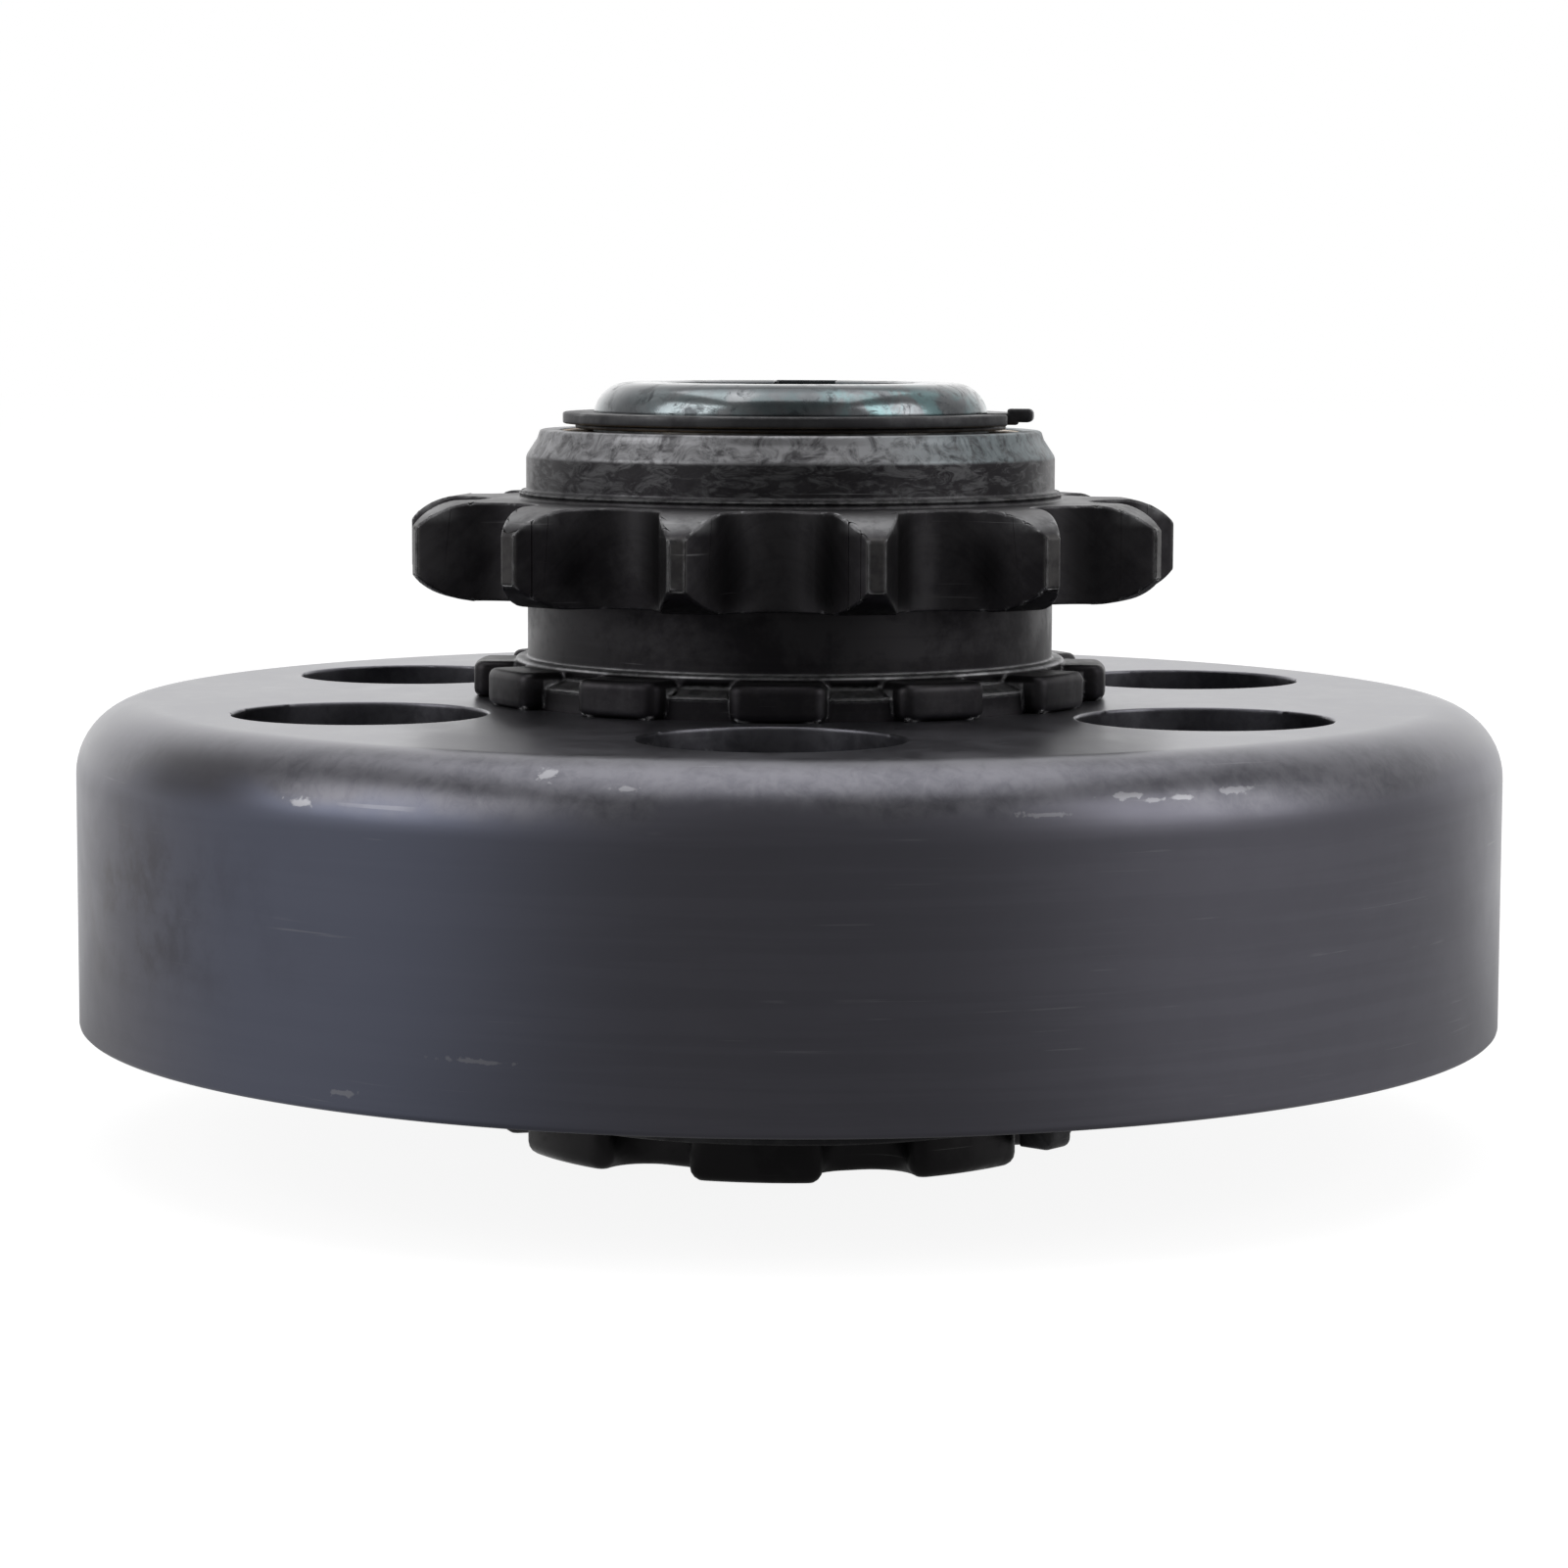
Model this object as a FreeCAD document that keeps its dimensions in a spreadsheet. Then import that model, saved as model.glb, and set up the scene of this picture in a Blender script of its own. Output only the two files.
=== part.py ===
import FreeCAD, Part
import math
import os
import Sketcher
from FreeCAD import Placement, Rotation, Vector

# Centrifugal clutch for a small engine: a keyed driver hub flings eight shoes out
# against a pressed drum, and the drum carries a roller chain sprocket.
# Frame: Z is the shaft axis, +Z towards the sprocket end, the origin is at the centre of the
# hub's foot, and the front is at -Y. Lengths are in millimetres and angles in degrees.

PART_NAME = "centrifugal_clutch"
SHEET_NAME = "Sizes"
PARTS_FOLDER = "parts"
FULL_TURN = 360.0
HALF = 0.5
CUT_OVERRUN = 1.0
# The shoe heads' share of the way from the hub nose out to the shoes' faces.
HEAD_SHARE = 0.3297
# The foot's share of the way from the hub nose out to the legs' outside.
FOOT_SHARE = 0.3366
# How deep in a shoe's head the garter springs' circle runs, as a share of the head.
SPRING_SHARE = 0.486
# Where the retainer plate's dish starts and ends, as shares of the plate's width.
DISH_START_SHARE = 0.275
DISH_END_SHARE = 0.547

# Every driving dimension once: its name in the sheet, its value and what it is.
DRIVING_SIZES = (
    ("drum_radius", 53.5, "drum, outside radius"),
    ("drum_wall", 3.0, "drum, side wall thickness"),
    ("web_thickness", 3.0, "drum, flat web thickness"),
    ("drum_height", 24.2, "drum, rim edge to web top"),
    ("rim_height", 9.25, "drum rim edge above the hub foot"),
    ("drum_bend", 5.3, "drum, outside bend radius"),
    ("rim_chamfer", 0.4, "drum, chamfer on both rim edges"),
    ("web_hole_bridge", 2.015, "web left between the dogs and a vent hole"),
    ("web_hole_land", 3.865, "web left between a vent hole and the bend"),
    ("web_hole_count", 6, "vent holes in the web"),
    ("web_phase", -2.1, "angle of one vent hole and one dog from the front"),
    ("dog_length", 1.55, "sprocket dogs, out from the spigot between them"),
    ("spigot_step", 1.6, "sprocket spigot between the dogs, out from the step ring"),
    ("dog_width", 6.9, "sprocket dog, width across its parallel flanks"),
    ("dog_count", 12, "sprocket dogs"),
    ("dog_rise", 2.7, "dogs above the web top"),
    ("dog_round", 0.6, "rounded edges of the dogs, at their top and over the web"),
    ("dog_corner", 1.0, "rounded upright corners of the dogs"),
    ("root_rise", 1.6, "straight part of the spigot above the web"),
    ("cone_rise", 0.55, "cone from the spigot up to the step"),
    ("step_height", 0.9, "step ring above the cone"),
    ("step_width", 0.9, "step ring, out from the lower sleeve"),
    ("web_fit", 0.05, "clearance of the spigot and dogs in the web"),
    ("collar_width", 2.15, "sprocket collar under the web, out from the dogs"),
    ("collar_thickness", 1.95, "sprocket collar under the web"),
    ("sleeve_wall", 2.5, "sprocket sleeve below the teeth, wall round the bushing"),
    ("upper_sleeve_step", 0.1, "sprocket sleeve above the teeth, out from the lower one"),
    ("sleeve_gap", 4.7, "step ring top to the lower tooth face"),
    ("tooth_width", 7.2, "sprocket, width over the tooth faces"),
    ("fillet_ring_width", 0.5, "thin ring over the upper tooth face, out from the sleeve"),
    ("fillet_ring_height", 0.6, "thin ring over the upper tooth face, height"),
    ("upper_sleeve_height", 2.6, "upper sleeve, from the thin ring to its bevel"),
    ("bevel_height", 1.3, "bevel at the sleeve's upper end, height"),
    ("bevel_depth", 0.85, "bevel at the sleeve's upper end, depth"),
    ("lip_height", 0.65, "lip over the bevel, height"),
    ("lip_draft", 0.2, "lip over the bevel, inwards lean"),
    ("chain_pitch", 12.7, "roller chain pitch"),
    ("roller_diameter", 7.92, "roller chain roller diameter"),
    ("tooth_count", 13, "sprocket teeth"),
    ("tooth_phase", 11.85, "angle of one tooth tip from the front"),
    ("tooth_rise", 2.666, "sprocket tooth tips, out from the pitch circle"),
    ("flank_overrun", 0.4, "tooth flanks, how far their curve runs past the tips"),
    ("flank_land", 0.5, "width left between two flanks at the end of their curve"),
    ("seat_clearance", 0.04, "roller seat radius over the roller radius"),
    ("tooth_bevel_depth", 3.9, "rounding of the tooth faces, inwards from the tip"),
    ("tooth_bevel_width", 1.85, "rounding of the tooth faces, along the axis"),
    ("bore_radius", 9.535, "hub bore for a 19.05 shaft, radius"),
    ("key_width", 4.79, "keyway width for a 4.76 key"),
    ("key_depth", 2.4, "keyway depth beyond the bore wall"),
    ("bore_chamfer", 0.5, "chamfer at both mouths of the bore"),
    ("journal_wall", 5.315, "hub nose that the bushing turns on, wall round the bore"),
    ("nose_round", 2.6, "rounded end of the hub nose"),
    ("nose_rise", 3.2, "hub nose above the sprocket"),
    ("foot_chamfer", 0.5, "chamfer round the foot"),
    ("leg_chamfer", 0.8, "chamfer under the legs"),
    ("slot_width", 6.5, "slot between two hub legs"),
    ("slot_depth", 4.4, "slots, depth into the foot"),
    ("slot_round", 2.5, "rounded corners of a slot's floor"),
    ("slot_mouth", 1.2, "rounding on both sides of a slot in the foot"),
    ("shoe_count", 8, "slots in the hub and shoes in them"),
    ("shoe_phase", 16.0, "angle of the first slot from the front"),
    ("flange_lip", 3.0, "hub flange and retainer plate, out from the legs"),
    ("flange_thickness", 2.0, "hub flange thickness"),
    ("running_gap", 0.1, "end play between the drum and each thrust washer"),
    ("bushing_wall", 2.4, "bushing wall thickness"),
    ("bushing_fit", 0.05, "bushing clearance on the hub nose"),
    ("bushing_inset", 0.1, "bushing top below the sleeve's end"),
    ("lower_washer_thickness", 1.1, "thrust washer on the hub flange"),
    ("lower_washer_width", 7.05, "thrust washer on the hub flange, width"),
    ("upper_washer_thickness", 0.35, "thrust washer under the upper ring"),
    ("upper_washer_width", 1.25, "thrust washer under the upper ring, width"),
    ("washer_fit", 0.1, "thrust washer clearance on the hub nose"),
    ("upper_ring_reach", 2.3, "upper snap ring, out from the hub nose"),
    ("upper_ring_thickness", 0.85, "upper snap ring thickness"),
    ("upper_groove_depth", 1.2, "snap ring groove in the hub nose"),
    ("upper_ring_opening", 13.0, "opening of the upper snap ring, as an angle"),
    ("upper_tang_length", 1.1, "upper ring's tang, out from the ring"),
    ("upper_tang_width", 1.6, "upper ring's tang, width"),
    ("upper_tang_height", 1.0, "upper ring's tang, height"),
    ("upper_tang_lift", 0.2, "upper ring's tang above the ring's underside"),
    ("upper_tang_round", 0.4, "upper ring's tang, rounding of its end"),
    ("upper_ring_phase", 82.0, "angle of the upper ring's tang from the front"),
    ("lower_ring_reach", 1.1, "lower snap ring, out from the hub foot"),
    ("lower_ring_thickness", 1.3, "lower snap ring thickness"),
    ("lower_ring_height", 3.1, "lower snap ring above the foot"),
    ("lower_groove_depth", 1.7, "snap ring groove in the hub foot"),
    ("lower_ring_opening", 14.0, "opening of the lower snap ring, as an angle"),
    ("lower_tang_length", 2.3, "lower ring's tang, out from the ring"),
    ("lower_tang_width", 2.2, "lower ring's tang, width"),
    ("lower_tang_height", 2.1, "lower ring's tang, height"),
    ("lower_tang_drop", 1.6, "lower ring's tang below the ring's underside"),
    ("lower_tang_round", 0.8, "lower ring's tang, rounding of its end"),
    ("lower_ring_phase", 50.0, "angle of the lower ring's tang from the front"),
    ("tang_root", 0.8, "both rings' tangs, root inside the ring"),
    ("ring_fit", 0.05, "snap ring clearance in its groove"),
    ("plate_thickness", 1.5, "retainer plate sheet thickness"),
    ("plate_fit", 0.15, "retainer plate clearance round the foot"),
    ("plate_dish", 3.6, "retainer plate, rise of its dish"),
    ("shoe_end_gap", 0.3, "shoe clearance at the plate and at the flange"),
    ("stem_clearance", 0.05, "shoe stem clearance in its slot, each side"),
    ("stem_inner_gap", 0.4, "shoe stem clearance at the slot floor"),
    ("head_gap", 0.7, "shoe head clearance outside the legs"),
    ("head_opening", 2.5, "gap between two shoe heads, as an angle"),
    ("shoe_travel", 0.7, "outward travel of a shoe"),
    ("lining_thickness", 3.0, "friction lining thickness"),
    ("lining_inset", 0.5, "lining set back from the shoe's ends"),
    ("drum_contact_gap", 0.1, "lining to drum at full travel"),
    ("spring_coil_radius", 1.6, "garter springs, outside radius of the coil"),
    ("spring_side_gap", 0.2, "garter spring clearance beside it in its groove"),
    ("spring_floor_gap", 0.05, "garter spring clearance to the groove floor"),
    ("spring_recess", 0.15, "garter spring below the shoe's end face"),
)


class Size:
    """A length or an angle: its number, and the sheet formula that gives it."""

    def __init__(self, number, formula):
        self.number = float(number)
        self.formula = formula

    def __add__(self, other):
        other = as_size(other)
        return Size(self.number + other.number, f"({self.formula} + {other.formula})")

    def __sub__(self, other):
        other = as_size(other)
        return Size(self.number - other.number, f"({self.formula} - {other.formula})")

    def __mul__(self, other):
        other = as_size(other)
        return Size(self.number * other.number, f"({self.formula} * {other.formula})")

    def __truediv__(self, other):
        other = as_size(other)
        return Size(self.number / other.number, f"({self.formula} / {other.formula})")

    def __neg__(self):
        return Size(-self.number, f"(0 - {self.formula})")


def as_size(value):
    """A plain number as a Size, and a Size as it is."""
    if isinstance(value, Size):
        return value
    return Size(value, repr(float(value)))


def sine(angle):
    return Size(math.sin(math.radians(angle.number)), f"sin({angle.formula})")


def cosine(angle):
    return Size(math.cos(math.radians(angle.number)), f"cos({angle.formula})")


def arc_sine(ratio):
    degrees = math.degrees(math.asin(ratio.number))
    return Size(degrees, f"(asin({ratio.formula}) / 1 deg)")


def root(value):
    return Size(math.sqrt(value.number), f"sqrt({value.formula})")


class SizeSheet:
    """The spreadsheet of driving dimensions, each readable here by its name."""

    def __init__(self, document, rows):
        sheet = document.addObject("Spreadsheet::Sheet", SHEET_NAME)
        for row_number, (alias, value, meaning) in enumerate(rows, start=1):
            sheet.set(f"A{row_number}", alias)
            sheet.set(f"B{row_number}", str(value))
            sheet.set(f"C{row_number}", meaning)
            sheet.setAlias(f"B{row_number}", alias)
            setattr(self, alias, Size(value, f"{SHEET_NAME}.{alias}"))


doc = FreeCAD.newDocument(PART_NAME)
size = SizeSheet(doc, DRIVING_SIZES)
doc.recompute()

# Heights along the axis, from the foot upwards.
web_top = size.rim_height + size.drum_height
web_bottom = web_top - size.web_thickness
collar_bottom = web_bottom - size.collar_thickness
lower_washer_top = collar_bottom - size.running_gap
flange_top = lower_washer_top - size.lower_washer_thickness
flange_bottom = flange_top - size.flange_thickness
lower_ring_top = size.lower_ring_height + size.lower_ring_thickness
leg_bottom = lower_ring_top + size.plate_dish + size.plate_thickness
shoe_bottom = leg_bottom + size.shoe_end_gap
shoe_top = flange_bottom - size.shoe_end_gap
shoe_height = shoe_top - shoe_bottom
step_bottom = web_top + size.root_rise + size.cone_rise
step_top = step_bottom + size.step_height
tooth_bottom = step_top + size.sleeve_gap
tooth_top = tooth_bottom + size.tooth_width
fillet_ring_top = tooth_top + size.fillet_ring_height
bevel_bottom = fillet_ring_top + size.upper_sleeve_height
lip_bottom = bevel_bottom + size.bevel_height
sleeve_top = lip_bottom + size.lip_height
upper_washer_bottom = sleeve_top + size.running_gap
upper_ring_bottom = upper_washer_bottom + size.upper_washer_thickness
upper_ring_top = upper_ring_bottom + size.upper_ring_thickness
nose_top = sleeve_top + size.nose_rise + size.upper_washer_thickness

# Radii from the bore outwards: the hub nose, the bushing, the sleeve and the dogs.
journal_radius = size.bore_radius + size.journal_wall
bushing_inner_radius = journal_radius + size.bushing_fit
bushing_outer_radius = bushing_inner_radius + size.bushing_wall
washer_inner_radius = journal_radius + size.washer_fit
lower_sleeve_radius = bushing_outer_radius + size.sleeve_wall
upper_sleeve_radius = lower_sleeve_radius + size.upper_sleeve_step
step_radius = lower_sleeve_radius + size.step_width
dog_root_radius = step_radius + size.spigot_step
dog_radius = dog_root_radius + size.dog_length
collar_radius = dog_radius + size.collar_width
# Through the web the dogs are narrower, all round, by the rounding of their lower edges.
neck_radius = dog_radius - size.dog_round
half_neck = size.dog_width * HALF - size.dog_round

# The chain's pitch circle, on which the roller seats are struck.
half_turn_tooth = as_size(FULL_TURN * HALF) / size.tooth_count
pitch_radius = size.chain_pitch / (sine(half_turn_tooth) * 2)
tip_radius = pitch_radius + size.tooth_rise

# Radii from the drum inwards: the linings, the shoes, the springs, the legs and the foot.
drum_inner_radius = size.drum_radius - size.drum_wall
inner_bend_radius = size.drum_bend - size.web_thickness
lining_radius = drum_inner_radius - size.drum_contact_gap
shoe_face_radius = lining_radius - size.lining_thickness
shoe_rest_radius = shoe_face_radius - size.shoe_travel
head_thickness = (shoe_rest_radius - journal_radius) * HEAD_SHARE
head_inner_radius = shoe_rest_radius - head_thickness
leg_radius = head_inner_radius - size.head_gap
flange_radius = leg_radius + size.flange_lip
foot_radius = journal_radius + (leg_radius - journal_radius) * FOOT_SHARE
slot_floor = foot_radius - size.slot_depth
spring_circle = head_inner_radius + head_thickness * SPRING_SHARE
spring_groove_inner = spring_circle - size.spring_coil_radius - size.spring_side_gap
spring_groove_outer = spring_circle + size.spring_coil_radius + size.spring_side_gap
spring_groove_depth = size.spring_coil_radius * 2 + size.spring_floor_gap + size.spring_recess


def origin_feature(body, role):
    """One of the body's own origin planes or axes, such as XY_Plane."""
    for feature in body.Origin.OriginFeatures:
        if feature.Role == role:
            return feature
    raise ValueError(role)


def new_body(label, turn=0.0):
    """A body with its label, turned about Z by an angle from the front at -Y."""
    body = doc.addObject("PartDesign::Body", label)
    body.Label = label
    body.Placement = Placement(Vector(0, 0, 0), Rotation(Vector(0, 0, 1), turn - 90.0))
    return body


def new_sketch(body, name, role, height=None, turn=0.0):
    """A sketch on an origin plane, at a height over it and turned about its normal."""
    sketch = body.newObject("Sketcher::SketchObject", name)
    sketch.AttachmentSupport = (origin_feature(body, role), [""])
    sketch.MapMode = "FlatFace"
    if height is not None:
        offset = Vector(0, 0, height.number)
        sketch.AttachmentOffset = Placement(offset, Rotation(Vector(0, 0, 1), turn))
        sketch.setExpression("AttachmentOffset.Base.z", height.formula)
    return sketch


def pin_point(sketch, geometry, end, point):
    """Hold one end of a line or arc at a point given by two sizes."""
    for kind, coordinate in zip(("DistanceX", "DistanceY"), point):
        if coordinate.number < 0:
            constraint = Sketcher.Constraint(kind, geometry, end, -1, 1, -coordinate.number)
            formula = (-coordinate).formula
        else:
            constraint = Sketcher.Constraint(kind, -1, 1, geometry, end, coordinate.number)
            formula = coordinate.formula
        index = sketch.addConstraint(constraint)
        sketch.setExpression(f"Constraints[{index}]", formula)


def arc_between(start, end, radius, side):
    """The short arc from start to end, its centre on the left (1) or right (-1) of the way."""
    chord = end - start
    height = math.sqrt(max(radius * radius - chord.Length * chord.Length / 4, 0.0))
    left = Vector(-chord.y, chord.x, 0).normalize()
    centre = (start + end) * HALF + left * (height * side)
    circle = Part.Circle(centre, Vector(0, 0, 1), radius)
    first, last = (start, end) if side > 0 else (end, start)
    return Part.ArcOfCircle(circle, circle.parameter(first), circle.parameter(last))


def closed_outline(sketch, corners, arcs=None):
    """Join corners with lines, or with arcs where arcs maps a side to its radius and its side."""
    arcs = arcs or {}
    points = [Vector(across.number, along.number, 0) for across, along in corners]
    ends = []
    for side, start in enumerate(points):
        end = points[(side + 1) % len(points)]
        if side in arcs:
            radius, centre_side = arcs[side]
            index = sketch.addGeometry(arc_between(start, end, radius.number, centre_side))
            turns_left = centre_side > 0
            ends.append((index, 1, 2) if turns_left else (index, 2, 1))
        else:
            index = sketch.addGeometry(Part.LineSegment(start, end))
            ends.append((index, 1, 2))
    for side, (index, first, last) in enumerate(ends):
        following, following_first, _ = ends[(side + 1) % len(ends)]
        sketch.addConstraint(Sketcher.Constraint("Coincident", index, last, following, following_first))
        pin_point(sketch, index, first, corners[side])
        if side in arcs:
            radius = arcs[side][0]
            held = sketch.addConstraint(Sketcher.Constraint("Radius", index, radius.number))
            sketch.setExpression(f"Constraints[{held}]", radius.formula)


def round_outline(sketch, distance, radius):
    """A circle whose centre lies on the sketch's X axis."""
    centre = Vector(distance.number, 0, 0)
    index = sketch.addGeometry(Part.Circle(centre, Vector(0, 0, 1), radius.number))
    sketch.addConstraint(Sketcher.Constraint("PointOnObject", index, 3, -1))
    across = sketch.addConstraint(Sketcher.Constraint("DistanceX", -1, 1, index, 3, distance.number))
    sketch.setExpression(f"Constraints[{across}]", distance.formula)
    held = sketch.addConstraint(Sketcher.Constraint("Radius", index, radius.number))
    sketch.setExpression(f"Constraints[{held}]", radius.formula)


def block_outline(sketch, near, far, half_width):
    """A rectangle centred on the sketch's X axis."""
    corners = [(near, -half_width), (far, -half_width), (far, half_width), (near, half_width)]
    closed_outline(sketch, corners)


def rounded_corner(flank, outside, radius, beyond):
    """Where a rounding meets a flank and a circle about Z; beyond is 1 past the flank, else -1."""
    across = flank + radius * beyond
    inside = outside - radius
    along = root(inside * inside - across * across)
    scale = outside / inside
    return (along, flank), (along * scale, across * scale)


def turned(body, name, corners, arcs=None, sweep=None):
    """Turn an outline of (radius, height) corners about Z, all round or through an angle."""
    sketch = new_sketch(body, name + "_profile", "XZ_Plane")
    closed_outline(sketch, corners, arcs)
    feature = body.newObject("PartDesign::Revolution", name)
    feature.Profile = sketch
    feature.ReferenceAxis = (sketch, ["V_Axis"])
    feature.Angle = FULL_TURN
    if sweep is not None:
        feature.Angle = sweep.number
        feature.setExpression("Angle", sweep.formula)
    sketch.Visibility = False
    return feature


def grooved(body, name, corners, arcs=None):
    """Cut a turned groove, from an outline of (radius, height) corners."""
    sketch = new_sketch(body, name + "_profile", "XZ_Plane")
    closed_outline(sketch, corners, arcs)
    feature = body.newObject("PartDesign::Groove", name)
    feature.Profile = sketch
    feature.ReferenceAxis = (sketch, ["V_Axis"])
    feature.Angle = FULL_TURN
    return feature


def padded(body, name, sketch, length):
    """Raise a sketch along +Z."""
    feature = body.newObject("PartDesign::Pad", name)
    feature.Profile = sketch
    feature.Length = length.number
    feature.setExpression("Length", length.formula)
    return feature


def pocketed(body, name, sketch, length):
    """Cut a sketch upwards, along +Z."""
    feature = body.newObject("PartDesign::Pocket", name)
    feature.Profile = sketch
    feature.Length = length.number
    feature.setExpression("Length", length.formula)
    feature.Reversed = True
    return feature


def repeated_round(body, name, feature, count):
    """Repeat a feature evenly round Z."""
    pattern = body.newObject("PartDesign::PolarPattern", name)
    pattern.Originals = [feature]
    pattern.Axis = (origin_feature(body, "Z_Axis"), [""])
    pattern.Angle = FULL_TURN
    pattern.Occurrences = int(count.number)
    pattern.setExpression("Occurrences", count.formula)
    body.Tip = pattern
    return pattern


def make_hub():
    """Driver hub: slotted foot and legs, flange and nose, bored and keyed, in one piece."""
    body = new_body("driver_hub", size.shoe_phase.number)
    chamfer = size.bore_chamfer
    lower_groove = foot_radius - size.lower_groove_depth
    upper_groove = journal_radius - size.upper_groove_depth
    corners = [
        (size.bore_radius + chamfer, as_size(0)),
        (foot_radius - size.foot_chamfer, as_size(0)),
        (foot_radius, size.foot_chamfer),
        (foot_radius, size.lower_ring_height),
        (lower_groove, size.lower_ring_height),
        (lower_groove, lower_ring_top),
        (foot_radius, lower_ring_top),
        (foot_radius, leg_bottom),
        (leg_radius - size.leg_chamfer, leg_bottom),
        (leg_radius, leg_bottom + size.leg_chamfer),
        (leg_radius, flange_bottom),
        (flange_radius, flange_bottom),
        (flange_radius, flange_top),
        (journal_radius, flange_top),
        (journal_radius, upper_ring_bottom),
        (upper_groove, upper_ring_bottom),
        (upper_groove, upper_ring_top),
        (journal_radius - size.ring_fit, upper_ring_top),
        (journal_radius - size.nose_round, nose_top),
        (size.bore_radius + chamfer, nose_top),
        (size.bore_radius, nose_top - chamfer),
        (size.bore_radius, chamfer),
    ]
    rounded_nose = {17: (size.nose_round, 1)}
    turned(body, "hub_blank", corners, rounded_nose)

    slot_sketch = new_sketch(body, "slot_outline", "XY_Plane", as_size(0))
    half_slot = size.slot_width * HALF
    slot_end = leg_radius + CUT_OVERRUN
    half_floor = half_slot - size.slot_round
    corners = [
        (slot_floor + size.slot_round, -half_slot),
        (slot_end, -half_slot),
        (slot_end, half_slot),
        (slot_floor + size.slot_round, half_slot),
        (slot_floor, half_floor),
        (slot_floor, -half_floor),
    ]
    closed_outline(slot_sketch, corners, {3: (size.slot_round, 1), 5: (size.slot_round, 1)})
    slot = pocketed(body, "slot", slot_sketch, flange_bottom)
    repeated_round(body, "slots", slot, size.shoe_count)

    mouth_sketch = new_sketch(body, "slot_mouth_outline", "XY_Plane", as_size(0))
    on_flank, on_foot = rounded_corner(half_slot, foot_radius, size.slot_mouth, 1)
    mouth_end = on_foot[0] + CUT_OVERRUN
    corners = [
        (on_flank[0], -on_flank[1]),
        (on_foot[0], -on_foot[1]),
        (mouth_end, -on_foot[1]),
        (mouth_end, on_foot[1]),
        on_foot,
        on_flank,
    ]
    closed_outline(mouth_sketch, corners, {0: (size.slot_mouth, -1), 4: (size.slot_mouth, -1)})
    mouth = pocketed(body, "slot_mouth", mouth_sketch, leg_bottom)
    repeated_round(body, "slot_mouths", mouth, size.shoe_count)

    under_a_lug = HALF * FULL_TURN / size.shoe_count.number
    key_sketch = new_sketch(body, "keyway_outline", "XY_Plane", as_size(0), FULL_TURN * HALF - under_a_lug)
    block_outline(key_sketch, as_size(0), size.bore_radius + size.key_depth, size.key_width * HALF)
    pocketed(body, "keyway", key_sketch, nose_top)
    return body


def make_drum():
    """Pressed steel drum: side wall, bend and web in one sheet, vented and notched."""
    body = new_body("clutch_drum", size.web_phase.number)
    chamfer = size.rim_chamfer
    web_hole = dog_root_radius + size.web_fit
    corners = [
        (drum_inner_radius + chamfer, size.rim_height),
        (size.drum_radius - chamfer, size.rim_height),
        (size.drum_radius, size.rim_height + chamfer),
        (size.drum_radius, web_top - size.drum_bend),
        (size.drum_radius - size.drum_bend, web_top),
        (web_hole, web_top),
        (web_hole, web_bottom),
        (drum_inner_radius - inner_bend_radius, web_bottom),
        (drum_inner_radius, web_bottom - inner_bend_radius),
        (drum_inner_radius, size.rim_height + chamfer),
    ]
    turned(body, "drum_cup", corners, {3: (size.drum_bend, 1), 7: (inner_bend_radius, -1)})

    vent_near = dog_radius + size.web_hole_bridge
    vent_far = drum_inner_radius - inner_bend_radius - size.web_hole_land
    vent_sketch = new_sketch(body, "vent_outline", "XY_Plane", web_bottom)
    round_outline(vent_sketch, (vent_near + vent_far) * HALF, (vent_far - vent_near) * HALF)
    vent = pocketed(body, "vent", vent_sketch, size.web_thickness)
    repeated_round(body, "vents", vent, size.web_hole_count)

    notch_sketch = new_sketch(body, "notch_outline", "XY_Plane", web_bottom)
    block_outline(notch_sketch, lower_sleeve_radius, neck_radius + size.web_fit, half_neck + size.web_fit)
    notch = pocketed(body, "notch", notch_sketch, size.web_thickness)
    repeated_round(body, "notches", notch, size.dog_count)
    return body


def tooth_gap_corners():
    """The gap between two teeth: a roller seat, a curved flank each side, open past the tips."""
    seat_radius = size.roller_diameter * HALF + size.seat_clearance
    # A roller chain sprocket's seat spans 140 degrees less 90 over the number of teeth.
    seat_angle = (as_size(140) - as_size(90) / size.tooth_count) * HALF
    seat_end = (pitch_radius - seat_radius * cosine(seat_angle), seat_radius * sine(seat_angle))
    flank_end = tip_radius + size.flank_overrun
    tip_angle = half_turn_tooth - arc_sine(size.flank_land * HALF / flank_end)
    tip = (flank_end * cosine(tip_angle), flank_end * sine(tip_angle))
    # The flank leaves the seat along its tangent, so its radius follows from the two ends.
    run = tip[0] - seat_end[0]
    rise = tip[1] - seat_end[1]
    chord_squared = run * run + rise * rise
    offset = rise * sine(seat_angle) - run * cosine(seat_angle)
    flank_radius = chord_squared / (offset * 2)
    outside = flank_end + CUT_OVERRUN
    corners = [
        (seat_end[0], -seat_end[1]),
        (tip[0], -tip[1]),
        (outside, -tip[1]),
        (outside, tip[1]),
        (tip[0], tip[1]),
        (seat_end[0], seat_end[1]),
    ]
    arcs = {0: (flank_radius, -1), 4: (flank_radius, -1), 5: (seat_radius, 1)}
    return corners, arcs


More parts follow.
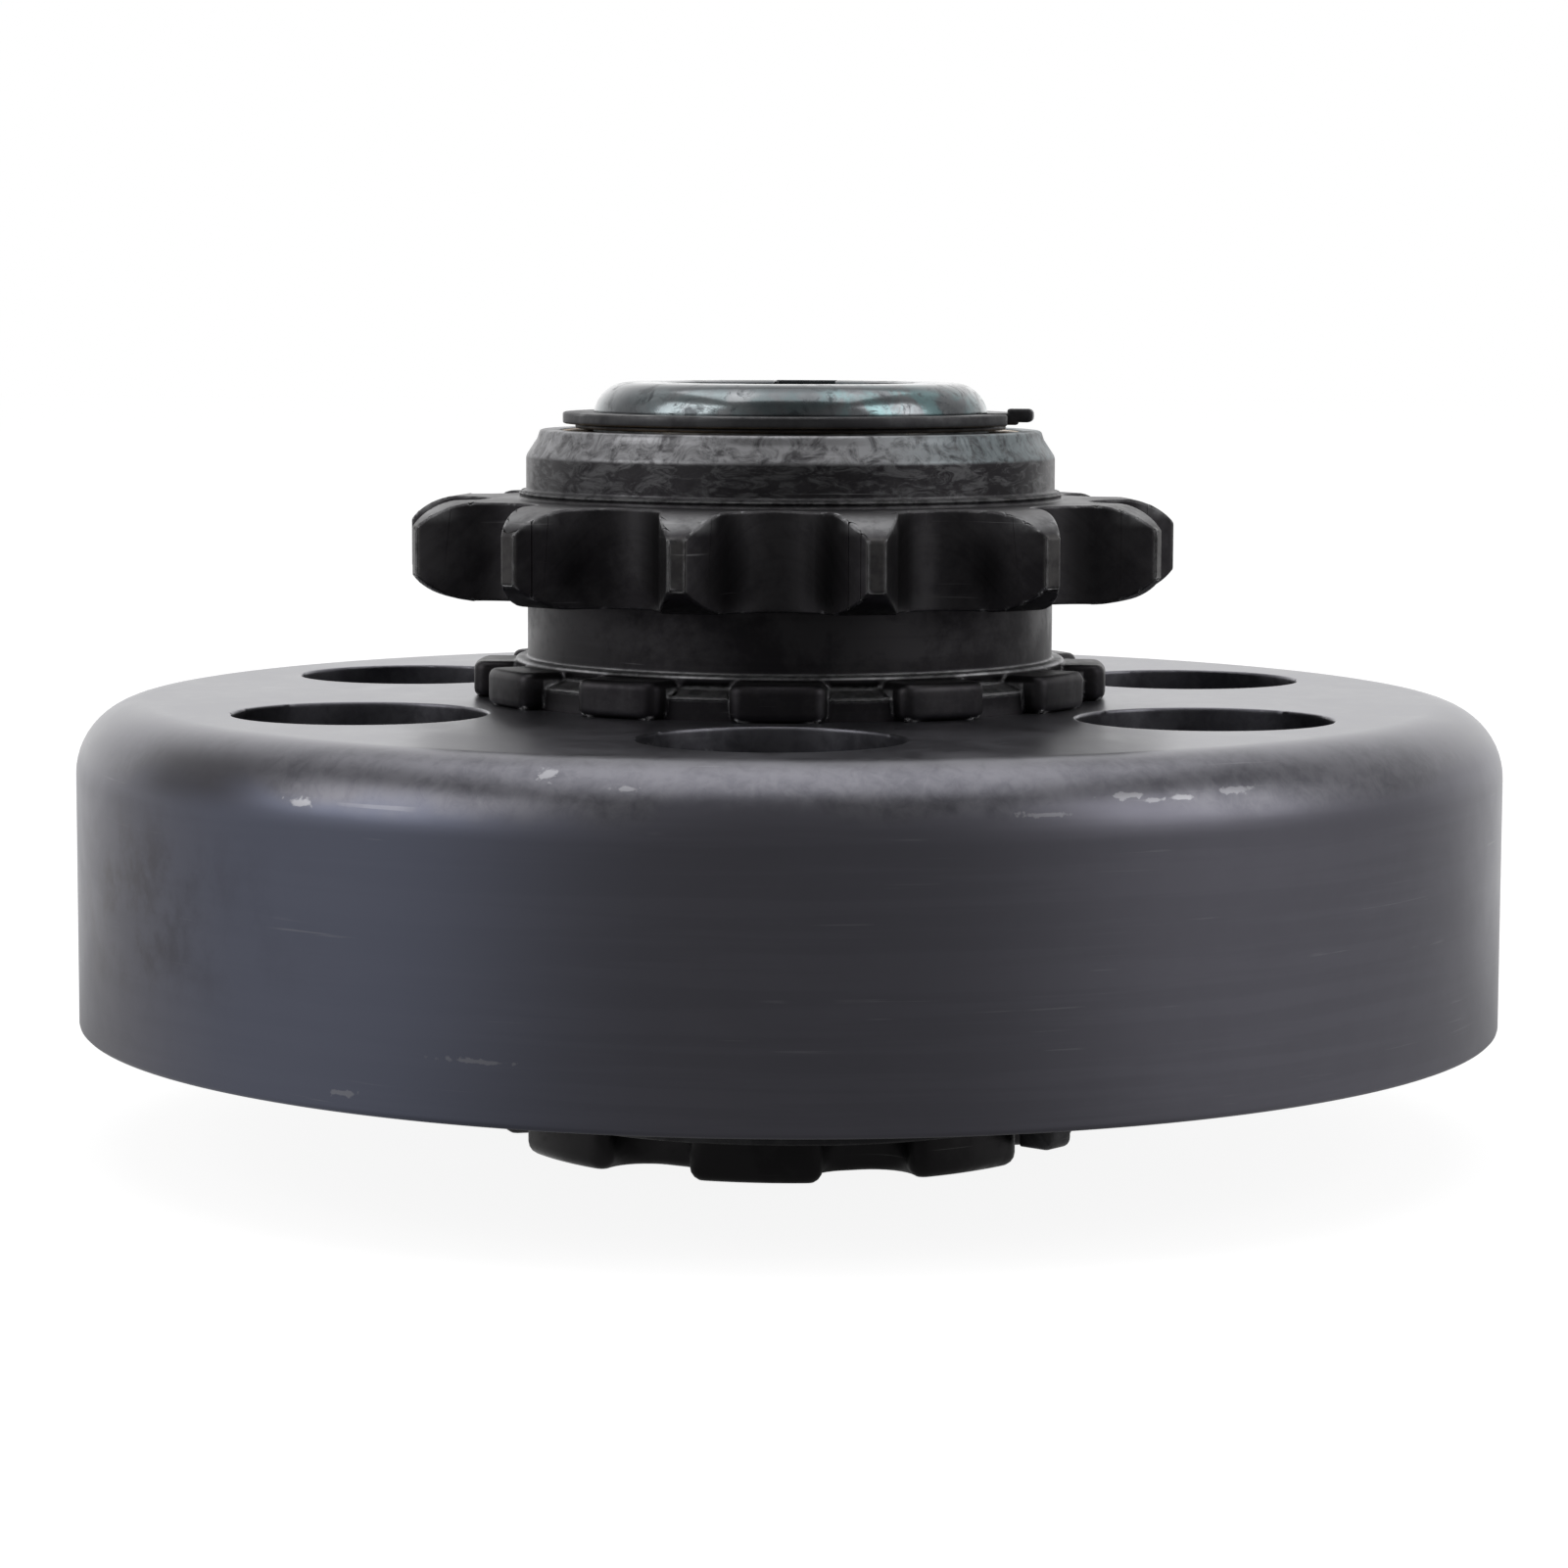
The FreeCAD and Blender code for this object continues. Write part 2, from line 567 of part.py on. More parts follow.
def make_sprocket():
    """Chain sprocket with its sleeves, its dogs through the web and the collar under it."""
    body = new_body("chain_sprocket", size.web_phase.number)
    bevel_start = tip_radius - size.tooth_bevel_depth
    bevel_radius = (
        size.tooth_bevel_depth * size.tooth_bevel_depth + size.tooth_bevel_width * size.tooth_bevel_width
    ) / (size.tooth_bevel_width * 2)
    corners = [
        (bushing_outer_radius, collar_bottom),
        (collar_radius, collar_bottom),
        (collar_radius, web_bottom),
        (dog_root_radius, web_bottom),
        (dog_root_radius, web_top + size.root_rise),
        (step_radius, step_bottom),
        (step_radius, step_top),
        (lower_sleeve_radius, step_top),
        (lower_sleeve_radius, tooth_bottom),
        (bevel_start, tooth_bottom),
        (tip_radius, tooth_bottom + size.tooth_bevel_width),
        (tip_radius, tooth_top - size.tooth_bevel_width),
        (bevel_start, tooth_top),
        (upper_sleeve_radius + size.fillet_ring_width, tooth_top),
        (upper_sleeve_radius + size.fillet_ring_width, fillet_ring_top),
        (upper_sleeve_radius, fillet_ring_top),
        (upper_sleeve_radius, bevel_bottom),
        (upper_sleeve_radius - size.bevel_depth, lip_bottom),
        (upper_sleeve_radius - size.bevel_depth - size.lip_draft, sleeve_top),
        (bushing_outer_radius, sleeve_top),
    ]
    turned(body, "sprocket_blank", corners, {9: (bevel_radius, 1), 11: (bevel_radius, 1)})

    dog_top = web_top + size.dog_rise
    half_dog = size.dog_width * HALF
    dog_sketch = new_sketch(body, "dog_outline", "YZ_Plane", lower_sleeve_radius)
    side_bottom = web_top + size.dog_round
    side_top = dog_top - size.dog_round
    corners = [
        (-half_neck, web_bottom),
        (half_neck, web_bottom),
        (half_neck, web_top),
        (half_dog, side_bottom),
        (half_dog, side_top),
        (half_neck, dog_top),
        (-half_neck, dog_top),
        (-half_dog, side_top),
        (-half_dog, side_bottom),
        (-half_neck, web_top),
    ]
    rounding = (size.dog_round, 1)
    closed_outline(dog_sketch, corners, {2: rounding, 4: rounding, 6: rounding, 8: rounding})
    dog_reach = dog_radius + CUT_OVERRUN - lower_sleeve_radius
    dog = padded(body, "dog", dog_sketch, dog_reach)
    repeated_round(body, "dogs", dog, size.dog_count)
    beyond = dog_radius + size.dog_width
    corners = [
        (neck_radius, web_bottom),
        (beyond, web_bottom),
        (beyond, dog_top + CUT_OVERRUN),
        (neck_radius, dog_top + CUT_OVERRUN),
        (neck_radius, dog_top),
        (dog_radius, side_top),
        (dog_radius, side_bottom),
        (neck_radius, web_top),
    ]
    grooved(body, "dog_turning", corners, {4: (size.dog_round, -1), 6: (size.dog_round, -1)})
    web_middle = web_bottom + size.web_thickness * HALF
    corner_sketch = new_sketch(body, "dog_corner_outline", "XY_Plane", web_middle)
    on_flank, on_face = rounded_corner(half_dog, dog_radius, size.dog_corner, -1)
    outside = on_face[0] + CUT_OVERRUN
    beside = half_dog + CUT_OVERRUN
    corners = [on_flank, on_face, (outside, on_face[1]), (outside, beside), (on_flank[0], beside)]
    closed_outline(corner_sketch, corners, {0: (size.dog_corner, -1)})
    corners = [(across, -along) for across, along in corners]
    closed_outline(corner_sketch, corners, {0: (size.dog_corner, 1)})
    corner = pocketed(body, "dog_corner", corner_sketch, dog_top + CUT_OVERRUN - web_middle)
    repeated_round(body, "dog_corners", corner, size.dog_count)

    half_tooth = HALF * FULL_TURN / size.tooth_count.number
    gap_turn = size.tooth_phase.number - size.web_phase.number + half_tooth
    gap_sketch = new_sketch(body, "tooth_gap_outline", "XY_Plane", tooth_bottom - CUT_OVERRUN, gap_turn)
    corners, arcs = tooth_gap_corners()
    closed_outline(gap_sketch, corners, arcs)
    gap = pocketed(body, "tooth_gap", gap_sketch, size.tooth_width + CUT_OVERRUN * 2)
    repeated_round(body, "tooth_gaps", gap, size.tooth_count)
    return body


def make_ring_washer(label, inner, outer, bottom, top):
    """A plain turned ring: a bushing or a thrust washer."""
    body = new_body(label)
    corners = [(inner, bottom), (outer, bottom), (outer, top), (inner, top)]
    turned(body, label + "_ring", corners)
    return body


def make_snap_ring(label, inner, outer, bottom, top, opening, phase, tang):
    """Open snap ring, one end of it bent outwards into a short tang with a rounded end."""
    body = new_body(label, phase.number)
    corners = [(inner, bottom), (outer, bottom), (outer, top), (inner, top)]
    turned(body, label + "_ring", corners, sweep=as_size(FULL_TURN) - opening)
    length, width, tang_bottom, height, rounding = tang
    tang_sketch = new_sketch(body, label + "_tang_outline", "XZ_Plane")
    tang_start = outer - size.tang_root
    tang_end = outer + length
    tang_top = tang_bottom + height
    corners = [
        (tang_start, tang_bottom),
        (tang_end - rounding, tang_bottom),
        (tang_end, tang_bottom + rounding),
        (tang_end, tang_top - rounding),
        (tang_end - rounding, tang_top),
        (tang_start, tang_top),
    ]
    closed_outline(tang_sketch, corners, {1: (rounding, 1), 3: (rounding, 1)})
    raised = padded(body, label + "_tang", tang_sketch, width)
    raised.Reversed = True
    return body


def make_retainer_plate():
    """Dished plate under the shoes: a flat on the lower ring and a flat under the legs."""
    body = new_body("retainer_plate")
    inner = foot_radius + size.plate_fit
    width = flange_radius - inner
    dish_start = inner + width * DISH_START_SHARE
    dish_end = inner + width * DISH_END_SHARE
    half_sheet = size.plate_thickness * HALF
    seat = lower_ring_top
    raised = leg_bottom - size.plate_thickness
    corners = [
        (inner, seat),
        (dish_start, seat),
        (dish_end, raised),
        (flange_radius, raised),
        (flange_radius, leg_bottom),
        (dish_end - half_sheet, leg_bottom),
        (dish_start - half_sheet, seat + size.plate_thickness),
        (inner, seat + size.plate_thickness),
    ]
    turned(body, "retainer_dish", corners)
    return body


def shoe_angle(number):
    """Angle of a shoe from the front, counted from the first slot."""
    return size.shoe_phase.number + FULL_TURN / size.shoe_count.number * number


def make_shoe(number):
    """One T-shaped shoe: a stem that slides in its slot and a curved head with two grooves."""
    label = f"shoe_{number + 1}"
    body = new_body(label, shoe_angle(number))
    half_head = (as_size(FULL_TURN) / size.shoe_count - size.head_opening) * HALF
    half_stem = size.slot_width * HALF - size.stem_clearance
    stem_angle = arc_sine(half_stem / head_inner_radius)
    # The face is struck about a centre set back by the travel, so that it meets the drum all
    # along when the shoe is out. Its ends are where the head's straight sides reach it.
    side_run = cosine(half_head)
    side_rise = sine(half_head)
    set_back = size.shoe_travel * side_rise
    reach = root(shoe_face_radius * shoe_face_radius - set_back * set_back) - size.shoe_travel * side_run
    stem_end = slot_floor + size.stem_inner_gap
    stem_round = size.slot_round - size.stem_clearance
    half_end = half_stem - stem_round
    corners = [
        (stem_end + stem_round, -half_stem),
        (head_inner_radius * cosine(stem_angle), -half_stem),
        (head_inner_radius * side_run, -(head_inner_radius * side_rise)),
        (reach * side_run, -(reach * side_rise)),
        (reach * side_run, reach * side_rise),
        (head_inner_radius * side_run, head_inner_radius * side_rise),
        (head_inner_radius * cosine(stem_angle), half_stem),
        (stem_end + stem_round, half_stem),
        (stem_end, half_end),
        (stem_end, -half_end),
    ]
    arcs = {
        1: (head_inner_radius, -1),
        3: (shoe_face_radius, 1),
        5: (head_inner_radius, -1),
        7: (stem_round, 1),
        9: (stem_round, 1),
    }
    sketch = new_sketch(body, label + "_outline", "XY_Plane", shoe_bottom)
    closed_outline(sketch, corners, arcs)
    padded(body, label + "_block", sketch, shoe_height)
    lower_groove = [
        (spring_groove_inner, shoe_bottom),
        (spring_groove_outer, shoe_bottom),
        (spring_groove_outer, shoe_bottom + spring_groove_depth),
        (spring_groove_inner, shoe_bottom + spring_groove_depth),
    ]
    upper_groove = [
        (spring_groove_inner, shoe_top - spring_groove_depth),
        (spring_groove_outer, shoe_top - spring_groove_depth),
        (spring_groove_outer, shoe_top),
        (spring_groove_inner, shoe_top),
    ]
    grooved(body, label + "_lower_groove", lower_groove)
    grooved(body, label + "_upper_groove", upper_groove)
    return body


def make_lining(number):
    """Friction lining bonded to one shoe's face."""
    label = f"lining_{number + 1}"
    body = new_body(label, shoe_angle(number))
    half_head = (as_size(FULL_TURN) / size.shoe_count - size.head_opening) * HALF
    side_run = cosine(half_head)
    side_rise = sine(half_head)

    def reach_of(radius):
        """Distance from the hub axis at which the head's side line meets an arc."""
        set_back = size.shoe_travel * side_rise
        return root(radius * radius - set_back * set_back) - size.shoe_travel * side_run

    inner = reach_of(shoe_face_radius)
    outer = reach_of(lining_radius)
    corners = [
        (inner * side_run, -(inner * side_rise)),
        (outer * side_run, -(outer * side_rise)),
        (outer * side_run, outer * side_rise),
        (inner * side_run, inner * side_rise),
    ]
    arcs = {1: (lining_radius, 1), 3: (shoe_face_radius, -1)}
    sketch = new_sketch(body, label + "_outline", "XY_Plane", shoe_bottom + size.lining_inset)
    closed_outline(sketch, corners, arcs)
    padded(body, label + "_block", sketch, shoe_height - size.lining_inset * 2)
    return body


def make_garter_spring(label, height):
    """Garter spring round the shoes, as the ring that its coil fills."""
    torus = doc.addObject("Part::Torus", label)
    torus.Label = label
    torus.setExpression("Radius1", spring_circle.formula)
    torus.setExpression("Radius2", size.spring_coil_radius.formula)
    torus.Placement = Placement(Vector(0, 0, height.number), Rotation())
    torus.setExpression("Placement.Base.z", height.formula)
    return torus


def make_all():
    """Every piece of the clutch, in the order in which it goes together."""
    pieces = [make_hub()]
    shoe_numbers = range(int(size.shoe_count.number))
    pieces += [make_shoe(number) for number in shoe_numbers]
    pieces += [make_lining(number) for number in shoe_numbers]
    coil_depth = size.spring_recess + size.spring_coil_radius
    pieces.append(make_garter_spring("lower_garter_spring", shoe_bottom + coil_depth))
    pieces.append(make_garter_spring("upper_garter_spring", shoe_top - coil_depth))
    pieces.append(make_retainer_plate())
    pieces.append(
        make_snap_ring(
            "lower_snap_ring",
            foot_radius - size.lower_groove_depth + size.ring_fit,
            foot_radius + size.lower_ring_reach,
            size.lower_ring_height,
            lower_ring_top,
            size.lower_ring_opening,
            size.lower_ring_phase,
            (
                size.lower_tang_length,
                size.lower_tang_width,
                size.lower_ring_height - size.lower_tang_drop,
                size.lower_tang_height,
                size.lower_tang_round,
            ),
        )
    )
    pieces.append(
        make_ring_washer(
            "lower_thrust_washer",
            washer_inner_radius,
            washer_inner_radius + size.lower_washer_width,
            flange_top,
            lower_washer_top,
        )
    )
    pieces.append(make_drum())
    pieces.append(make_sprocket())
    pieces.append(
        make_ring_washer(
            "bronze_bushing",
            bushing_inner_radius,
            bushing_outer_radius,
            collar_bottom,
            sleeve_top - size.bushing_inset,
        )
    )
    pieces.append(
        make_ring_washer(
            "upper_thrust_washer",
            washer_inner_radius,
            washer_inner_radius + size.upper_washer_width,
            upper_washer_bottom,
            upper_ring_bottom,
        )
    )
    pieces.append(
        make_snap_ring(
            "upper_snap_ring",
            journal_radius - size.upper_groove_depth + size.ring_fit,
            journal_radius + size.upper_ring_reach,
            upper_ring_bottom,
            upper_ring_top,
            size.upper_ring_opening,
            size.upper_ring_phase,
            (
                size.upper_tang_length,
                size.upper_tang_width,
                upper_ring_bottom + size.upper_tang_lift,
                size.upper_tang_height,
                size.upper_tang_round,
            ),
        )
    )
    return pieces


def check_document():
    """Stop if any object of the document failed to build."""
    for item in doc.Objects:
        if "Invalid" in item.State or "Error" in item.State:
            raise RuntimeError(f"{item.Name} failed: {item.State}")


def write_pieces(pieces):
    """Check each piece's shape, then write them all."""
    for piece in pieces:
        if piece.Shape.isNull() or not piece.Shape.isValid():
            raise RuntimeError(f"{piece.Label} has no valid shape")
    os.makedirs(PARTS_FOLDER, exist_ok=True)
    for piece in pieces:
        piece.Shape.exportStep(f"{PARTS_FOLDER}/{piece.Label}.step")
        print(f"{piece.Label}: {piece.Shape.Volume:.1f} cubic millimetres")


all_pieces = make_all()
doc.recompute()
check_document()
write_pieces(all_pieces)
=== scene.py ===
"""Visual model of a centrifugal clutch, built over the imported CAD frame.

The shaft axis is Z and +Z points to the sprocket end. The origin is at the centre of the hub's
foot, and the front, which the camera faces, is at -Y. Lengths are in metres.
"""

import logging
import math
from dataclasses import dataclass
from enum import Enum
from typing import Optional, Sequence

import bmesh
import bpy
from mathutils import Matrix, Vector


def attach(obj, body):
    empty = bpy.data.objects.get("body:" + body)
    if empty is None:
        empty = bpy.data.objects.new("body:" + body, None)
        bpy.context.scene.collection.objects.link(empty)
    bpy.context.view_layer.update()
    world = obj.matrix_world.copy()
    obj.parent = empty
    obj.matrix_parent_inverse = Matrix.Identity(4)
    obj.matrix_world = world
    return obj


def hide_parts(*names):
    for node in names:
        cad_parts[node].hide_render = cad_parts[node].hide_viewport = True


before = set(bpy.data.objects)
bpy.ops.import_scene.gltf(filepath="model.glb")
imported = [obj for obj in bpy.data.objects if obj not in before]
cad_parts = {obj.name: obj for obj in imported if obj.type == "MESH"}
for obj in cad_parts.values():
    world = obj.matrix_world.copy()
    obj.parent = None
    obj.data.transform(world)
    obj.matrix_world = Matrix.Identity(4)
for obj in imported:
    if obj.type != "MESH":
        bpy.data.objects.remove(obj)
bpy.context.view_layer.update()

LOG = logging.getLogger("clutch")

MM = 0.001
MERGE_DISTANCE = 1e-3 * MM
FINE_STEPS = 256  # round the axis, on the large turned forms
PLAIN_STEPS = 128  # round the axis, elsewhere
SMOOTH_ANGLE = math.radians(32.0)  # edges that turn more stay sharp
STRAIGHT = math.radians(0.5)  # an edge line that turns less counts as straight
FACING = 0.99  # cosine past which a face counts as facing a direction
OVERRUN = 1.0 * MM  # how far a cutter stands out of what it cuts
SHOES = 8
SHOE_PHASE = 16.0  # degrees from the front
DOGS = 12
DOG_PHASE = -2.1  # degrees from the front

Colour = tuple[float, float, float]


class Boolean(Enum):
    """How a tool solid changes a base solid."""

    CUT = "DIFFERENCE"
    JOIN = "UNION"


class Body(Enum):
    """Bodies of the frame that more than one piece rides on."""

    HUB = "hub"
    DRUM = "drum"


@dataclass(frozen=True)
class Corner:
    """One corner of an outline, in the XZ plane or in plan.

    Args:
        radius: Distance from the shaft axis, or the place along X in plan.
        height: Height over the hub's foot, or the place along Y in plan.
        rounding: How far from the corner its rounding starts, or 0 for a sharp corner.
        steps: Number of flats in the rounding.
    """

    radius: float
    height: float
    rounding: float = 0.0
    steps: int = 3


@dataclass(frozen=True)
class EdgeBreak:
    """The small bevel that a finished piece has on its sharp edges.

    Args:
        width: Width of the bevel.
        segments: Number of flats in it.
    """

    width: float = 0.15 * MM
    segments: int = 2


def turn_by(degrees_from_front: float) -> Matrix:
    """Rotation that brings a form made along +X to an angle from the front.

    Args:
        degrees_from_front: Angle from -Y towards +X, in degrees.

    Returns:
        The rotation about the shaft axis.
    """
    return Matrix.Rotation(math.radians(degrees_from_front - 90.0), 3, "Z")


def turn_solid(solid: bmesh.types.BMesh, degrees_from_front: float) -> bmesh.types.BMesh:
    """Turn a solid made along +X to its place.

    Args:
        solid: The solid to turn.
        degrees_from_front: Angle from -Y towards +X, in degrees.

    Returns:
        The same solid.
    """
    bmesh.ops.rotate(solid, cent=(0, 0, 0), matrix=turn_by(degrees_from_front), verts=solid.verts[:])
    return solid


def tidy_solid(solid: bmesh.types.BMesh) -> bmesh.types.BMesh:
    """Merge doubles, then point every face outwards.

    Args:
        solid: The solid to tidy.

    Returns:
        The same solid.
    """
    bmesh.ops.remove_doubles(solid, verts=solid.verts[:], dist=MERGE_DISTANCE)
    bmesh.ops.recalc_face_normals(solid, faces=solid.faces[:])
    return solid


def round_off(
    solid: bmesh.types.BMesh, geom: Sequence[object], width: float, segments: int, affect: str = "EDGES"
) -> None:
    """Bevel edges or corners of a solid to a round.

    Args:
        solid: The solid, changed in place.
        geom: Its edges or vertices to bevel.
        width: How far from them the round starts.
        segments: Number of flats in the round.
        affect: EDGES or VERTICES.
    """
    bmesh.ops.bevel(
        solid,
        geom=geom,
        offset=width,
        offset_type="OFFSET",
        segments=segments,
        profile=0.5,
        affect=affect,
        material=-1,
    )


def outline_face(corners: Sequence[Corner]) -> bmesh.types.BMesh:
    """A face in the XZ plane with its corners rounded.

    Args:
        corners: The outline's corners in order.

    Returns:
        A bmesh with that one face.
    """
    outline = bmesh.new()
    verts = [outline.verts.new((corner.radius, 0.0, corner.height)) for corner in corners]
    outline.faces.new(verts)
    for corner, vert in zip(corners, verts):
        if corner.rounding > 0.0:
            round_off(outline, [vert], corner.rounding, corner.steps, "VERTICES")
    bmesh.ops.remove_doubles(outline, verts=outline.verts[:], dist=MERGE_DISTANCE)
    return outline


def turned_solid(
    corners: Sequence[Corner], steps: int = PLAIN_STEPS, sweep: float = math.tau
) -> bmesh.types.BMesh:
    """Turn an outline round the shaft axis. Part of a turn gets both its ends closed.

    Args:
        corners: The outline's corners in order.
        steps: Number of steps in the turn.
        sweep: Angle of the turn in radians.

    Returns:
        The closed solid.
    """
    solid = outline_face(corners)
    bmesh.ops.delete(solid, geom=solid.faces[:], context="FACES_ONLY")
    bmesh.ops.spin(
        solid,
        geom=solid.verts[:] + solid.edges[:],
        cent=(0, 0, 0),
        axis=(0, 0, 1),
        angle=sweep,
        steps=steps,
        use_merge=sweep == math.tau,
        use_duplicate=False,
    )
    if sweep < math.tau:
        open_edges = [edge for edge in solid.edges if edge.is_boundary]
        bmesh.ops.holes_fill(solid, edges=open_edges, sides=0)
    return tidy_solid(solid)


def arc_from(
    solid: bmesh.types.BMesh,
    start: bmesh.types.BMVert,
    centre: Sequence[float],
    sweep: float,
    steps: int,
) -> bmesh.types.BMVert:
    """Draw an arc in plan by spinning its first point.

    Args:
        solid: The bmesh that holds the point.
        start: The point.
        centre: The arc's centre, at the point's height.
        sweep: The arc's angle in radians, positive from +X towards +Y.
        steps: Number of flats in it.

    Returns:
        The point at the arc's end.
    """
    spun = bmesh.ops.spin(
        solid, geom=[start], cent=centre, axis=(0, 0, 1), angle=sweep, steps=steps, use_merge=False
    )
    return next(item for item in spun["geom_last"] if isinstance(item, bmesh.types.BMVert))


def block(low: Sequence[float], high: Sequence[float]) -> bmesh.types.BMesh:
    """A block between two corners.

    Args:
        low: The lowest corner.
        high: The highest corner.

    Returns:
        The closed solid.
    """
    low_corner, high_corner = Vector(low), Vector(high)
    solid = bmesh.new()
    bmesh.ops.create_cube(solid, size=1.0)
    bmesh.ops.scale(solid, vec=high_corner - low_corner, verts=solid.verts[:])
    bmesh.ops.translate(solid, vec=(low_corner + high_corner) / 2, verts=solid.verts[:])
    return tidy_solid(solid)


def plan_face(corners: Sequence[Corner]) -> bmesh.types.BMesh:
    """A face in plan with its corners rounded.

    Args:
        corners: The outline's corners in order.

    Returns:
        A bmesh with that one face, at height 0.
    """
    outline = outline_face(corners)
    laid_flat = Matrix.Rotation(-math.pi / 2, 3, "X")
    bmesh.ops.rotate(outline, cent=(0, 0, 0), matrix=laid_flat, verts=outline.verts[:])
    return outline


def raised_solid(flat: bmesh.types.BMesh, along: Sequence[float]) -> bmesh.types.BMesh:
    """Extrude a flat face along a straight line.

    Args:
        flat: A bmesh with one face.
        along: How far and which way.

    Returns:
        The closed solid, in the same bmesh.
    """
    grown = bmesh.ops.extrude_face_region(flat, geom=flat.faces[:])
    raised = [item for item in grown["geom"] if isinstance(item, bmesh.types.BMVert)]
    bmesh.ops.translate(flat, vec=along, verts=raised)
    return tidy_solid(flat)


def swept_solid(
    face: bmesh.types.BMesh, start: Sequence[float], along: Sequence[float], rounding: float = 0.0
) -> bmesh.types.BMesh:
    """Move a face to its start and sweep it along a straight line.

    Args:
        face: A bmesh with one face.
        start: How far the face is moved first.
        along: The sweep.
        rounding: Rounding of the edges round both ends, or 0.

    Returns:
        The closed solid.
    """
    bmesh.ops.translate(face, vec=start, verts=face.verts[:])
    solid = raised_solid(face, along)
    if rounding > 0.0:
        direction = Vector(along).normalized()
        ends = [cap for cap in solid.faces if abs(cap.normal.dot(direction)) > FACING]
        round_off(solid, list({edge for cap in ends for edge in cap.edges}), rounding, 4)
    return tidy_solid(solid)


def rounded_apex(flank: float, outside: float, rounding: float, beyond: int) -> Corner:
    """The sharp corner whose rounding touches a flank and a circle about the axis.

    Args:
        flank: Distance of the flank from the X axis.
        outside: Radius of the circle.
        rounding: Radius of the rounding.
        beyond: 1 if the rounding's centre lies past the flank, else -1.

    Returns:
        The corner in plan, on the positive side.
    """
    across = flank + beyond * rounding
    along = math.sqrt((outside - rounding) ** 2 - across**2)
    sweep = math.pi / 2 + beyond * math.atan2(across, along)
    reach = rounding * math.tan(sweep / 2)
    return Corner(along + reach, flank, reach, 6)


def mirrored_outline(corners: Sequence[Corner]) -> list[Corner]:
    """An outline's corners on the positive side, and the same ones mirrored before them.

    Args:
        corners: Corners at positive Y, from the outside inwards.

    Returns:
        The whole outline's corners.
    """
    mirrored = [Corner(corner.radius, -corner.height, corner.rounding, corner.steps) for corner in corners]
    return mirrored[::-1] + list(corners)


def repeated(solid: bmesh.types.BMesh, count: int) -> bmesh.types.BMesh:
    """Repeat a solid evenly round the shaft axis.

    Args:
        solid: The first copy, kept as it is.
        count: How many there are in all.

    Returns:
        The same bmesh with every copy in it.
    """
    bmesh.ops.spin(
        solid,
        geom=solid.verts[:] + solid.edges[:] + solid.faces[:],
        cent=(0, 0, 0),
        axis=(0, 0, 1),
        angle=math.tau * (count - 1) / count,
        steps=count - 1,
        use_merge=False,
        use_duplicate=True,
    )
    bmesh.ops.recalc_face_normals(solid, faces=solid.faces[:])
    return solid


def mesh_from(name: str, solid: bmesh.types.BMesh) -> bpy.types.Mesh:
    """A mesh made of a solid.

    Args:
        name: The mesh's name.
        solid: The solid, which is freed.

    Returns:
        The mesh.
    """
    mesh = bpy.data.meshes.new(name)
    solid.to_mesh(mesh)
    solid.free()
    return mesh


def linked_object(name: str, data: bpy.types.ID) -> bpy.types.Object:
    """A new object, linked to the scene.

    Args:
        name: Its name.
        data: Its mesh, lamp or camera.

    Returns:
        The object.
    """
    made = bpy.data.objects.new(name, data)
    bpy.context.scene.collection.objects.link(made)
    return made


def combine(base: bmesh.types.BMesh, tool: bmesh.types.BMesh, how: Boolean) -> bmesh.types.BMesh:
    """Cut or join two closed solids. Both are freed.

    Args:
        base: The solid that is changed.
        tool: The solid that changes it.
        how: What the tool does.

    Returns:
        The new solid.
    """
    base_object, tool_object = (
        linked_object("scratch", mesh_from("scratch", solid)) for solid in (base, tool)
    )
    modifier = base_object.modifiers.new("boolean", "BOOLEAN")
    modifier.operation = how.value
    modifier.solver = "EXACT"
    modifier.object = tool_object
    depsgraph = bpy.context.evaluated_depsgraph_get()
    mesh = bpy.data.meshes.new_from_object(base_object.evaluated_get(depsgraph))
    result = bmesh.new()
    result.from_mesh(mesh)
    bpy.data.meshes.remove(mesh)
    for holder in (base_object, tool_object):
        used = holder.data
        bpy.data.objects.remove(holder)
        bpy.data.meshes.remove(used)
    return tidy_solid(result)


def finished_piece(
    name: str,
    solid: bmesh.types.BMesh,
    finish: bpy.types.Material,
    body: str,
    nodes: Sequence[str],
    edge_break: Optional[EdgeBreak] = EdgeBreak(),
) -> bpy.types.Object:
    """Args:
        name: The piece's name.
        solid: Its solid, in place, which is freed.
        finish: Its material.
        body: The body that it rides on.
        nodes: The CAD nodes that it stands for.
        edge_break: The bevel on its sharp edges, or None.

    Returns:
        The object.
    """
    mesh = mesh_from(name, solid)
    mesh.polygons.foreach_set("use_smooth", [True] * len(mesh.polygons))
    mesh.set_sharp_from_angle(angle=SMOOTH_ANGLE)
    mesh.materials.append(finish)
    piece = linked_object(name, mesh)
    if edge_break is not None:
        bevel = piece.modifiers.new("edge_break", "BEVEL")
        bevel.width = edge_break.width
        bevel.segments = edge_break.segments
        bevel.limit_method = "ANGLE"
        bevel.angle_limit = SMOOTH_ANGLE
        bevel.use_clamp_overlap = False
        bevel.harden_normals = True
        weighted = piece.modifiers.new("even_shading", "WEIGHTED_NORMAL")
        weighted.keep_sharp = True
    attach(piece, body)
    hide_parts(*nodes)
    LOG.info("piece %s rides on %s with %d faces", name, body, len(mesh.polygons))
    return piece


